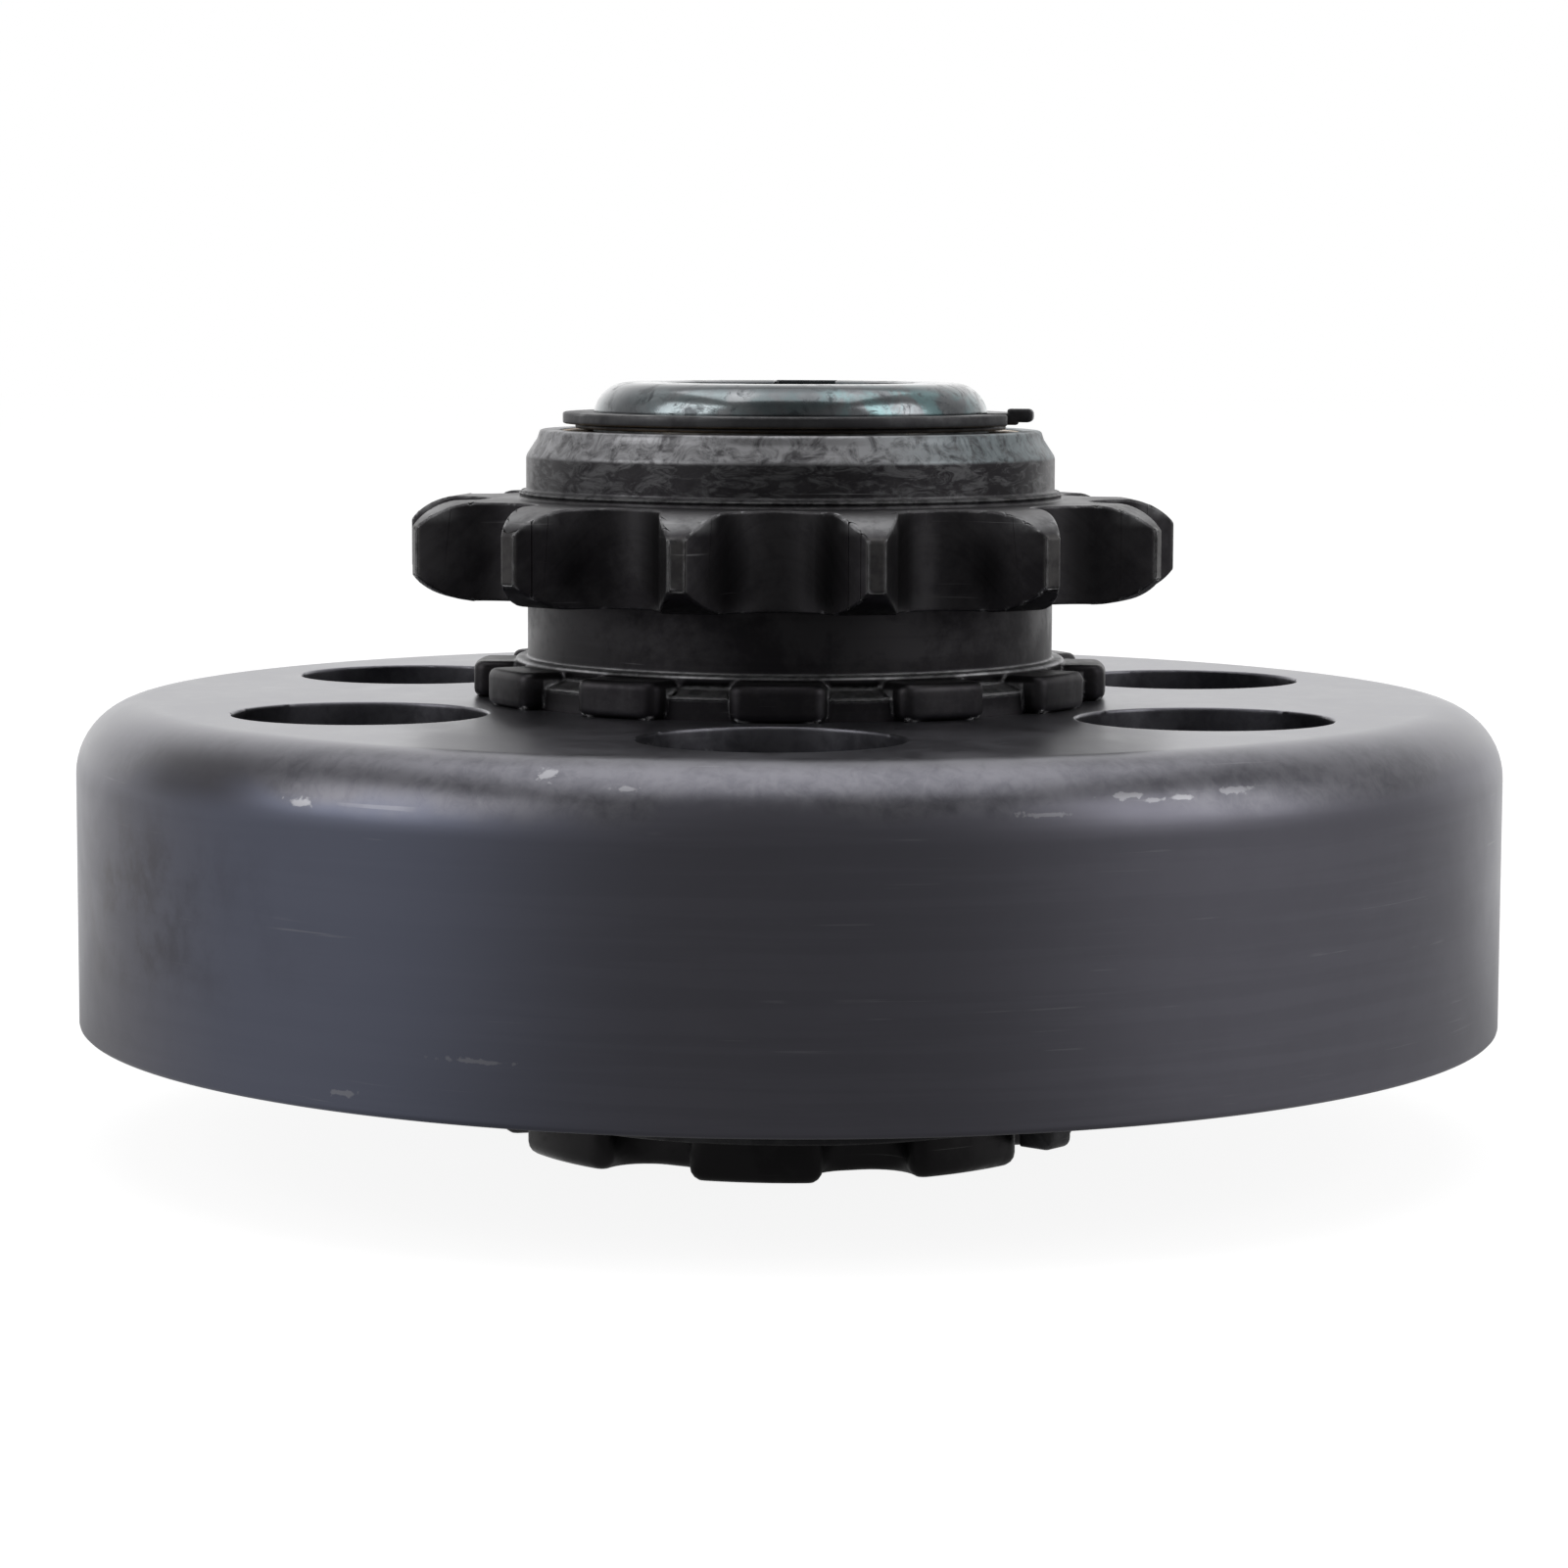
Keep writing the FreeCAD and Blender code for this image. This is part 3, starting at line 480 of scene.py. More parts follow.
class ShaderSheet:
    """A node tree with short calls for the nodes that the finishes use."""

    def __init__(self, tree: bpy.types.NodeTree) -> None:
        """Keep the node tree to fill."""
        self.tree = tree

    def node(self, kind: str, **settings: object) -> bpy.types.Node:
        """Add a node.

        Args:
            kind: The node's full type name.
            **settings: Properties to set on it.

        Returns:
            The node.
        """
        made = self.tree.nodes.new(kind)
        for key, value in settings.items():
            setattr(made, key, value)
        return made

    def feed(self, socket: bpy.types.NodeSocket, value: object) -> None:
        """Link an output to a socket, or set the socket's own value.

        Args:
            socket: The input socket.
            value: An output socket, a number or a tuple.
        """
        if isinstance(value, bpy.types.NodeSocket):
            self.tree.links.new(value, socket)
        else:
            socket.default_value = value

    def math(
        self, operation: str, first: object, second: object = 0.0, clamp: bool = False
    ) -> bpy.types.NodeSocket:
        """A math node.

        Args:
            operation: Its operation.
            first: First input.
            second: Second input.
            clamp: Whether the result is held between 0 and 1.

        Returns:
            Its output.
        """
        made = self.node("ShaderNodeMath", operation=operation, use_clamp=clamp)
        self.feed(made.inputs[0], first)
        self.feed(made.inputs[1], second)
        return made.outputs[0]

    def product(self, first: object, *others: object) -> object:
        """Several values multiplied together.

        Args:
            first: The first value.
            *others: The values that it is multiplied by.

        Returns:
            The product.
        """
        for other in others:
            first = self.math("MULTIPLY", first, other)
        return first

    def distance(self, value: object, centre: object) -> bpy.types.NodeSocket:
        """How far a value is from a centre, to either side."""
        return self.math("ABSOLUTE", self.math("SUBTRACT", value, centre))

    def towards(self, amount: object, first: object, second: object) -> bpy.types.NodeSocket:
        """A number moved by a share of the way to another."""
        way = self.math("SUBTRACT", second, first)
        return self.math("ADD", first, self.math("MULTIPLY", amount, way))

    def spread(
        self, value: object, low: float, high: float, to_low: float = 0.0, to_high: float = 1.0
    ) -> bpy.types.NodeSocket:
        """Map a range of a value smoothly onto another range.

        Args:
            value: The value.
            low: Where the source range starts.
            high: Where it ends.
            to_low: Result at its start.
            to_high: Result at its end.

        Returns:
            The mapped value.
        """
        made = self.node("ShaderNodeMapRange", interpolation_type="SMOOTHSTEP")
        for socket, number in zip(made.inputs[:5], (value, low, high, to_low, to_high)):
            self.feed(socket, number)
        return made.outputs[0]

    def split(self, vector: object) -> bpy.types.NodeOutputs:
        """The X, Y and Z parts of a vector."""
        apart = self.node("ShaderNodeSeparateXYZ")
        self.feed(apart.inputs[0], vector)
        return apart.outputs

    def joined(self, *parts: object) -> bpy.types.NodeSocket:
        """A vector made of its X, Y and Z parts."""
        together = self.node("ShaderNodeCombineXYZ")
        for socket, part in zip(together.inputs, parts):
            self.feed(socket, part)
        return together.outputs[0]

    def from_axis(self, across: object, depth: object) -> bpy.types.NodeSocket:
        """Distance from the shaft axis of a point, by its places along X and Y."""
        squares = [self.math("MULTIPLY", part, part) for part in (across, depth)]
        return self.math("SQRT", self.math("ADD", *squares))

    def stretch(self, vector: object, across: object, along: object) -> bpy.types.NodeSocket:
        """Scale a vector by one factor in X and Y and by another in Z.

        Args:
            vector: The vector.
            across: Factor in X and Y.
            along: Factor in Z.

        Returns:
            The scaled vector.
        """
        made = self.node("ShaderNodeVectorMath", operation="MULTIPLY")
        self.feed(made.inputs[0], vector)
        self.feed(made.inputs[1], self.joined(across, across, along))
        return made.outputs[0]

    def noise(
        self,
        vector: object,
        scale: object,
        detail: float = 4.0,
        roughness: float = 0.55,
        distortion: float = 0.0,
    ) -> bpy.types.NodeSocket:
        """A noise texture's value.

        Args:
            vector: Where it is read.
            scale: Its scale.
            detail: Its detail.
            roughness: Its roughness.
            distortion: Its distortion.

        Returns:
            A value about 0.5.
        """
        made = self.node("ShaderNodeTexNoise")
        names = ("Vector", "Scale", "Detail", "Roughness", "Distortion")
        for title, value in zip(names, (vector, scale, detail, roughness, distortion)):
            self.feed(made.inputs[title], value)
        return made.outputs[0]

    def cells(self, vector: object, scale: object) -> bpy.types.NodeSocket:
        """Distance from the middle of the nearest cell of a cell texture.

        Args:
            vector: Where it is read.
            scale: Its scale.

        Returns:
            The distance.
        """
        made = self.node("ShaderNodeTexVoronoi", feature="F1")
        self.feed(made.inputs["Vector"], vector)
        self.feed(made.inputs["Scale"], scale)
        return made.outputs["Distance"]

    def blend(self, amount: object, first: object, second: object) -> bpy.types.NodeSocket:
        """Mix two colours.

        Args:
            amount: Share of the second colour.
            first: First colour.
            second: Second colour.

        Returns:
            The mixed colour.
        """
        made = self.node("ShaderNodeMix", data_type="RGBA", clamp_factor=True)
        self.feed(made.inputs["Factor"], amount)
        self.feed(made.inputs[6], with_alpha(first))
        self.feed(made.inputs[7], with_alpha(second))
        return made.outputs[2]

    def choose(self, amount: object, first: object, second: object) -> bpy.types.NodeSocket:
        """Mix two numbers.

        Args:
            amount: Share of the second number.
            first: First number.
            second: Second number.

        Returns:
            The mixed number.
        """
        made = self.node("ShaderNodeMix", data_type="FLOAT")
        for title, value in (("Factor", amount), ("A", first), ("B", second)):
            self.feed(made.inputs[title], value)
        return made.outputs[0]

    def choose_shader(self, amount: object, first: object, second: object) -> bpy.types.NodeSocket:
        """Mix two shaders.

        Args:
            amount: Share of the second shader.
            first: First shader.
            second: Second shader.

        Returns:
            The mixed shader.
        """
        made = self.node("ShaderNodeMixShader")
        for socket, value in zip(made.inputs, (amount, first, second)):
            self.feed(socket, value)
        return made.outputs[0]

    def group(self, tree: bpy.types.NodeTree, **values: object) -> bpy.types.NodeOutputs:
        """Place a node group.

        Args:
            tree: The group.
            **values: Its inputs, by their names with underscores for spaces.

        Returns:
            The group node's outputs.
        """
        made = self.node("ShaderNodeGroup", node_tree=tree)
        for key, value in values.items():
            self.feed(made.inputs[key.replace("_", " ")], value)
        return made.outputs

    def surface(
        self,
        colour: object,
        roughness: object,
        relief: object,
        bump: float,
        depth: float,
        normal: Optional[bpy.types.NodeSocket] = None,
        metallic: float = 0.0,
    ) -> None:
        """End a material with its surface and the relief on it.

        Args:
            colour: Its base colour.
            roughness: Its roughness.
            relief: Height of the relief.
            bump: Strength of the relief.
            depth: Depth that a relief of 1 stands for.
            normal: The normal under the relief, or None for the mesh's own.
            metallic: How metallic it is.
        """
        raised = self.node("ShaderNodeBump")
        for title, value in (("Strength", bump), ("Distance", depth), ("Height", relief)):
            self.feed(raised.inputs[title], value)
        if normal is not None:
            self.feed(raised.inputs["Normal"], normal)
        surface = self.node("ShaderNodeBsdfPrincipled")
        self.feed(surface.inputs["Base Color"], colour)
        self.feed(surface.inputs["Roughness"], roughness)
        self.feed(surface.inputs["Metallic"], metallic)
        self.feed(surface.inputs["Normal"], raised.outputs[0])
        self.finish(surface.outputs[0])

    def finish(self, surface: bpy.types.NodeSocket, kind: str = "ShaderNodeOutputMaterial") -> None:
        """Send a shader to the tree's output, a node of the given kind."""
        self.feed(self.node(kind).inputs["Surface"], surface)


def with_alpha(colour: object) -> object:
    """A colour with its alpha, and a socket as it is.

    Args:
        colour: Three numbers or a socket.

    Returns:
        Four numbers or the socket.
    """
    if isinstance(colour, tuple) and len(colour) == 3:
        return (*colour, 1.0)
    return colour


def new_material(name: str) -> tuple[bpy.types.Material, ShaderSheet]:
    """A new material with an empty node sheet.

    Args:
        name: The material's name.

    Returns:
        The material and its sheet.
    """
    material = bpy.data.materials.new(name)
    material.use_nodes = True
    material.node_tree.nodes.clear()
    return material, ShaderSheet(material.node_tree)


def new_group(
    name: str, numbers: dict[str, float], values: Sequence[str], vectors: Sequence[str] = ()
) -> tuple[ShaderSheet, bpy.types.NodeOutputs, bpy.types.NodeInputs]:
    """A shader node group that reads a Vector and some numbers.

    Args:
        name: The group's name.
        numbers: Its number inputs with their first values.
        values: Names of its number outputs.
        vectors: Names of its vector outputs.

    Returns:
        The group's sheet, the sockets that bring its inputs and the sockets that take its outputs.
    """
    tree = bpy.data.node_groups.new(name, "ShaderNodeTree")
    tree.interface.new_socket("Vector", in_out="INPUT", socket_type="NodeSocketVector")
    for title, first_value in numbers.items():
        socket = tree.interface.new_socket(title, in_out="INPUT", socket_type="NodeSocketFloat")
        socket.default_value = first_value
    for kind, titles in (("NodeSocketFloat", values), ("NodeSocketVector", vectors)):
        for title in titles:
            tree.interface.new_socket(title, in_out="OUTPUT", socket_type=kind)
    sheet = ShaderSheet(tree)
    return sheet, sheet.node("NodeGroupInput").outputs, sheet.node("NodeGroupOutput").inputs


class SharedEffects:
    """The node groups that several finishes place."""

    def __init__(self) -> None:
        """Build every group once."""
        self.turning = self.make_turning()
        self.mottle = self.make_mottle()
        self.edges = self.make_edges()
        self.scratches = self.make_scratches()
        self.place = self.make_place()
        self.fleck = self.make_fleck()
        self.studio = self.make_studio()

    @staticmethod
    def make_turning() -> bpy.types.NodeTree:
        """Fine lines left by turning: rings round the axis on walls and on faces.

        Returns:
            The group, whose Mask is 0 to 1.
        """
        sheet, source, result = new_group(
            "turning_lines", {"Lines": 900.0, "Run": 30.0, "Contrast": 0.16}, ["Mask"]
        )
        across, depth, height = sheet.split(source["Vector"])
        level = sheet.math("ADD", height, sheet.from_axis(across, depth))
        where = sheet.stretch(sheet.joined(across, depth, level), source["Run"], source["Lines"])
        noise = sheet.noise(where, 1.0, detail=3.0, roughness=0.6)
        scaled = sheet.math("DIVIDE", sheet.math("SUBTRACT", noise, 0.5), source["Contrast"])
        sheet.feed(result["Mask"], sheet.math("ADD", scaled, 0.5, clamp=True))
        return sheet.tree

    @staticmethod
    def make_mottle() -> bpy.types.NodeTree:
        """Soft patches of two sizes, as oil film, scale and handling leave.

        Returns:
            The group, whose Mask is 0 to 1.
        """
        sheet, source, result = new_group(
            "mottled_film", {"Patch": 120.0, "Cover": 0.5, "Softness": 0.12}, ["Mask"]
        )
        where, patch = source["Vector"], source["Patch"]
        coarse = sheet.noise(where, patch, detail=6.0, roughness=0.62, distortion=0.6)
        fine = sheet.noise(where, sheet.math("MULTIPLY", patch, 5.3), detail=4.0, roughness=0.7)
        both = sheet.math("ADD", sheet.math("MULTIPLY", coarse, 0.7), sheet.math("MULTIPLY", fine, 0.3))
        bare = sheet.math("SUBTRACT", 1.0, source["Cover"])
        level = sheet.math("ADD", sheet.math("MULTIPLY", bare, 0.4), 0.3)
        scaled = sheet.math("DIVIDE", sheet.math("SUBTRACT", both, level), source["Softness"])
        sheet.feed(result["Mask"], sheet.math("ADD", scaled, 0.5, clamp=True))
        return sheet.tree

    @staticmethod
    def make_edges() -> bpy.types.NodeTree:
        """Edges rubbed bright, broken up by noise, and slightly rounded to the light.

        Returns:
            The group, with a Mask of 0 to 1 and the rounded Normal.
        """
        sheet, source, result = new_group(
            "rubbed_edges", {"Reach": 0.3 * MM, "Breaks": 900.0, "Strength": 1.0}, ["Mask"], ["Normal"]
        )
        rounded = sheet.node("ShaderNodeBevel", samples=6)
        sheet.feed(rounded.inputs["Radius"], source["Reach"])
        alike = sheet.node("ShaderNodeVectorMath", operation="DOT_PRODUCT")
        sheet.feed(alike.inputs[0], rounded.outputs[0])
        sheet.feed(alike.inputs[1], sheet.node("ShaderNodeNewGeometry").outputs["Normal"])
        turned = sheet.spread(sheet.math("SUBTRACT", 1.0, alike.outputs["Value"]), 0.01, 0.12)
        noise = sheet.noise(source["Vector"], source["Breaks"], detail=5.0, roughness=0.7)
        pale_steel = sheet.math("MULTIPLY", turned, sheet.spread(noise, 0.35, 0.6, 0.25, 1.0))
        sheet.feed(result["Mask"], sheet.math("MULTIPLY", pale_steel, source["Strength"], clamp=True))
        sheet.feed(result["Normal"], rounded.outputs[0])
        return sheet.tree

    @staticmethod
    def make_scratches() -> bpy.types.NodeTree:
        """Sparse fine scratches that run round the piece, and tiny pits.

        Returns:
            The group, with a Lines mask and a Pits mask, each 0 to 1.
        """
        sheet, source, result = new_group(
            "scratches_and_pits", {"Density": 1.0, "Pit Scale": 900.0}, ["Lines", "Pits"]
        )
        where, density = source["Vector"], source["Density"]
        lines = sheet.noise(
            sheet.stretch(where, 60.0, 2600.0), 1.0, detail=2.0, roughness=0.5, distortion=0.4
        )
        patches = sheet.noise(where, 140.0, detail=2.0)
        shown = sheet.math("MULTIPLY", sheet.spread(lines, 0.66, 0.72), sheet.spread(patches, 0.5, 0.62))
        sheet.feed(result["Lines"], sheet.math("MULTIPLY", shown, density, clamp=True))
        cells = sheet.cells(where, source["Pit Scale"])
        chosen = sheet.noise(where, 300.0, detail=3.0)
        pits = sheet.math("MULTIPLY", sheet.spread(cells, 0.24, 0.1), sheet.spread(chosen, 0.55, 0.65))
        sheet.feed(result["Pits"], sheet.math("MULTIPLY", pits, density, clamp=True))
        return sheet.tree

    @staticmethod
    def make_place() -> bpy.types.NodeTree:
        """Where a point lies on the clutch.

        Returns:
            The group, with Radius, Height and Angle from the front in radians.
        """
        sheet, source, result = new_group("place_on_clutch", {}, ["Radius", "Height", "Angle"])
        across, depth, height = sheet.split(source["Vector"])
        sheet.feed(result["Radius"], sheet.from_axis(across, depth))
        sheet.feed(result["Height"], height)
        sheet.feed(result["Angle"], sheet.math("ARCTAN2", across, sheet.math("MULTIPLY", depth, -1.0)))
        return sheet.tree

    @staticmethod
    def make_fleck() -> bpy.types.NodeTree:
        """A small ragged mark at one angle and height.

        Returns:
            The group, whose Mask is 1 in the mark.
        """
        numbers = {"Angle": 0.0, "Height": 0.0, "At Angle": 0.0, "At Height": 0.0}
        halves = {"Half Angle": 0.01, "Half Height": 0.2 * MM}
        sheet, source, result = new_group("fleck", numbers | halves, ["Mask"])
        away = []
        for way in ("Angle", "Height"):
            apart = sheet.math("SUBTRACT", source[way], source[f"At {way}"])
            share = sheet.math("DIVIDE", apart, source[f"Half {way}"])
            away.append(sheet.math("MULTIPLY", share, share))
        noise = sheet.noise(source["Vector"], 1500.0, detail=3.0)
        ragged = sheet.spread(noise, 0.3, 0.7, 0.2, 1.6)
        size = sheet.math("MULTIPLY", sheet.math("ADD", *away), ragged)
        sheet.feed(result["Mask"], sheet.spread(size, 1.3, 0.4))
        return sheet.tree

    @staticmethod
    def make_studio() -> bpy.types.NodeTree:
        """How bright the surroundings look to the metal: dark ahead, brighter beside and behind.

        Returns:
            The group, whose Value follows the direction of its Vector.
        """
        sheet, source, result = new_group("studio_brightness", {}, ["Value"])
        ahead, beside = 0.21, 0.52
        unit = sheet.node("ShaderNodeVectorMath", operation="NORMALIZE")
        sheet.feed(unit.inputs[0], source["Vector"])
        across, depth, height = sheet.split(unit.outputs[0])
        sides = sheet.spread(sheet.math("ABSOLUTE", across), 0.35, 0.9, ahead, beside)
        back = sheet.spread(depth, -0.15, 0.35, ahead, beside)
        far = sheet.spread(depth, 0.35, 1.0, 0.0, 0.9)
        overhead = sheet.spread(height, 0.88, 0.99, 0.0, 0.32)
        level = sheet.math("ADD", sheet.math("MAXIMUM", sides, back), sheet.math("ADD", far, overhead))
        sheet.feed(result["Value"], level)
        return sheet.tree


@dataclass(frozen=True)
class Spot:
    """What a finish reads at each point of its piece.

    Args:
        sheet: The material's node sheet.
        effects: The shared node groups.
        where: Object coordinates.
        radius: Distance from the shaft axis.
        height: Height over the hub's foot.
        angle: Angle from the front, in radians.
    """

    sheet: ShaderSheet
    effects: SharedEffects
    where: bpy.types.NodeSocket
    radius: bpy.types.NodeSocket
    height: bpy.types.NodeSocket
    angle: bpy.types.NodeSocket


@dataclass(frozen=True)
class Fleck:
    """One small lighter mark on a turned piece: a scratch, painted bright as its glint.

    Args:
        angle: Angle from the front, in radians.
        height: Height in millimetres.
        half_angle: Half its width, in radians.
        half_height: Half its height, in millimetres.
        amount: How strongly it shows.
    """

    angle: float
    height: float
    half_angle: float
    half_height: float
    amount: float


@dataclass(frozen=True)
class HighlightLine:
    """A painted highlight line round the sprocket.

    Args:
        height: Height of its middle.
        reach: How far it fades out above and below.
        radius: Distance from the shaft axis.
        amount: How strongly it shows.
    """

    height: float
    reach: float
    radius: float
    amount: float


@dataclass(frozen=True)
class MetalFinish:
    """A metal surface with turning lines, a mottled film, rubbed edges and scratches.

    Args:
        name: The material's name.
        clean: Colour of the bare or oxidised metal.
        filmed: Colour where the film lies.
        pale_steel: Colour of worn edges and scratches, and of the painted highlights and glints.
        roughness: Roughness of the clean metal.
        film_roughness: Roughness under the film.
        patch: Scale of the film's patches.
        cover: Share of the surface under the film.
        softness: Softness of the film's edges.
        lines: Scale of the turning lines across them.
        run: Scale of the turning lines along them.
        line_depth: Strength of the turning lines in the colour, and less so in the roughness.
        edge_reach: How far edges are rubbed.
        edge_strength: How bright they are.
        scratches: Density of scratches and pits.
        bump: Strength of the bump.
        bump_depth: Depth of the bump.
        metallic: How metallic the surface is.
        flecks: Small marks of its own: scratches, painted bright as their glints.
    """

    name: str
    clean: Colour
    filmed: Colour
    pale_steel: Colour
    roughness: float = 0.36
    film_roughness: float = 0.55
    patch: float = 120.0
    cover: float = 0.5
    softness: float = 0.14
    lines: float = 900.0
    run: float = 30.0
    line_depth: float = 0.3
    edge_reach: float = 0.3 * MM
    edge_strength: float = 0.8
    scratches: float = 0.6
    bump: float = 0.25
    bump_depth: float = 0.03 * MM
    metallic: float = 1.0
    flecks: tuple[Fleck, ...] = ()

    def build(self, effects: SharedEffects) -> bpy.types.Material:
        """Make the material.

        Args:
            effects: The shared node groups.

        Returns:
            The material.
        """
        material, sheet = new_material(self.name)
        where = sheet.node("ShaderNodeTexCoord").outputs["Object"]
        place = sheet.group(effects.place, Vector=where)
        at = Spot(sheet, effects, where, place["Radius"], place["Height"], place["Angle"])
        turning = sheet.group(effects.turning, Vector=where, Lines=self.lines, Run=self.run)["Mask"]
        film = sheet.group(
            effects.mottle, Vector=where, Patch=self.patch, Cover=self.cover, Softness=self.softness
        )["Mask"]
        edge = sheet.group(effects.edges, Vector=where, Reach=self.edge_reach, Strength=self.edge_strength)
        marks = sheet.group(effects.scratches, Vector=where, Density=self.scratches)
        deep = self.line_depth
        lined = sheet.node("ShaderNodeVectorMath", operation="SCALE")
        sheet.feed(lined.inputs[0], sheet.blend(film, self.clean, self.filmed))
        sheet.feed(lined.inputs["Scale"], sheet.spread(turning, 0.0, 1.0, 1.0 - deep, 1.0 + deep))
        film_roughness = sheet.spread(film, 0.0, 1.0, self.roughness, self.film_roughness)
        line_roughness = sheet.spread(turning, 0.0, 1.0, -0.1 * deep, 0.1 * deep)
        roughness = sheet.math("ADD", film_roughness, line_roughness)
        colour, roughness = self.local_look(at, lined.outputs[0], roughness)
        worn = sheet.math("MAXIMUM", edge["Mask"], marks["Lines"])
        colour = sheet.blend(worn, self.flecked(at, colour), self.pale_steel)
        relief = sheet.math("SUBTRACT", sheet.math("MULTIPLY", turning, 0.35), marks["Lines"])
        relief = sheet.math("SUBTRACT", relief, marks["Pits"])
        grain = sheet.noise(where, 2600.0, detail=3.0)
        relief = sheet.math("ADD", relief, sheet.math("MULTIPLY", grain, 0.5))
        sheet.surface(
            colour, roughness, relief, self.bump, self.bump_depth, edge["Normal"], self.metallic
        )
        return material

    def flecked(self, at: Spot, colour: bpy.types.NodeSocket) -> bpy.types.NodeSocket:
        """Colour with the piece's own small marks.

        Args:
            at: What the finish reads.
            colour: The colour so far.

        Returns:
            The changed colour.
        """
        # Each mark is a scratch with its glint painted in.
        for fleck in self.flecks:
            mark = at.sheet.group(
                at.effects.fleck,
                Vector=at.where,
                Angle=at.angle,
                Height=at.height,
                At_Angle=fleck.angle,
                At_Height=fleck.height * MM,
                Half_Angle=fleck.half_angle,
                Half_Height=fleck.half_height * MM,
            )["Mask"]
            colour = at.sheet.blend(at.sheet.math("MULTIPLY", mark, fleck.amount), colour, self.pale_steel)
        return colour

    def local_look(
        self, at: Spot, colour: bpy.types.NodeSocket, roughness: bpy.types.NodeSocket
    ) -> tuple[bpy.types.NodeSocket, bpy.types.NodeSocket]:
        """Colour and roughness with the changes at certain places. A plain finish has none."""
        return colour, roughness


@dataclass(frozen=True)
class DrumFinish(MetalFinish):
    """Drum steel: brown stains on the left of the wall, a dark patch of painted shade over a smudge on the
    bend's left, and a mottled bend and web.

    Args:
        stain: Colour of the stains.
        stain_height: Height of the stains' middle.
        stain_angle: Their angle from the front, in radians.
        bend_height: Where the turned wall ends and the bend starts.
        web_light: Colour of the web's lighter patches.
        web_dark: Colour of its darker patches.
        web_roughness: Roughness of the web.
        blue: Colour of the bluish part of the wall.
        blue_angle: Angle of its middle.
        shade_and_smudge: Colour of the dark patch on the bend's left: painted shade over a smudge.
        shade_and_smudge_angle: Angle of the dark patch.
        shade_and_smudge_height: Height of the dark patch.
    """

    stain: Colour = (0.070, 0.058, 0.054)
    stain_height: float = 21.0 * MM
    stain_angle: float = -0.95
    bend_height: float = 29.6 * MM
    web_light: Colour = (0.170, 0.168, 0.188)
    web_dark: Colour = (0.105, 0.104, 0.120)
    web_roughness: float = 0.3
    blue: Colour = (0.125, 0.138, 0.190)
    blue_angle: float = -0.62
    shade_and_smudge: Colour = (0.055, 0.053, 0.062)
    shade_and_smudge_angle: float = -0.877
    shade_and_smudge_height: float = 30.81 * MM

    def local_look(
        self, at: Spot, colour: bpy.types.NodeSocket, roughness: bpy.types.NodeSocket
    ) -> tuple[bpy.types.NodeSocket, bpy.types.NodeSocket]:
        """Add the stains, the painted shade on the bend's left and the mottled bend and web.

        Args:
            at: What the finish reads.
            colour: The colour so far.
            roughness: The roughness so far.

        Returns:
            The changed colour and roughness.
        """
        sheet = at.sheet
        beside = sheet.spread(sheet.distance(at.angle, self.stain_angle), 0.42, 0.05)
        level = sheet.spread(sheet.distance(at.height, self.stain_height), 9.0 * MM, 2.0 * MM)
        cloud = sheet.spread(sheet.noise(at.where, 190.0, detail=6.0, roughness=0.65), 0.42, 0.68)
        colour = sheet.blend(sheet.product(beside, level, cloud, 0.75), colour, self.stain)
        left = sheet.spread(sheet.distance(at.angle, self.blue_angle), 0.55, 0.1, 0.0, 0.7)
        colour = sheet.blend(left, colour, self.blue)
        # Painted shade: a dark patch on the bend's left, over a smudge.
        near = sheet.spread(sheet.distance(at.angle, self.shade_and_smudge_angle), 0.22, 0.05)
        band = sheet.spread(
            sheet.distance(at.height, self.shade_and_smudge_height), 2.6 * MM, 0.6 * MM, 0.0, 0.8
        )
        wander = sheet.spread(sheet.noise(at.where, 90.0, detail=3.0), 0.3, 0.7, -0.8 * MM, 0.8 * MM)
        height = sheet.math("ADD", at.height, wander)
        bend = sheet.spread(height, self.bend_height - 0.3 * MM, self.bend_height + 1.6 * MM)
        fine = sheet.noise(at.where, 900.0, detail=6.0, roughness=0.7, distortion=0.6)
        broad = sheet.noise(at.where, 130.0, detail=4.0, roughness=0.6, distortion=0.8)
        both = sheet.math("ADD", sheet.math("MULTIPLY", fine, 0.45), sheet.math("MULTIPLY", broad, 0.55))
        mottle = sheet.spread(both, 0.34, 0.62)
        web = sheet.blend(mottle, self.web_dark, self.web_light)
        rough = sheet.math("ADD", self.web_roughness, sheet.math("MULTIPLY", mottle, 0.06))
        shade_and_smudge = sheet.math("MULTIPLY", near, band)
        colour = sheet.blend(shade_and_smudge, sheet.blend(bend, colour, web), self.shade_and_smudge)
        return colour, sheet.towards(bend, roughness, rough)


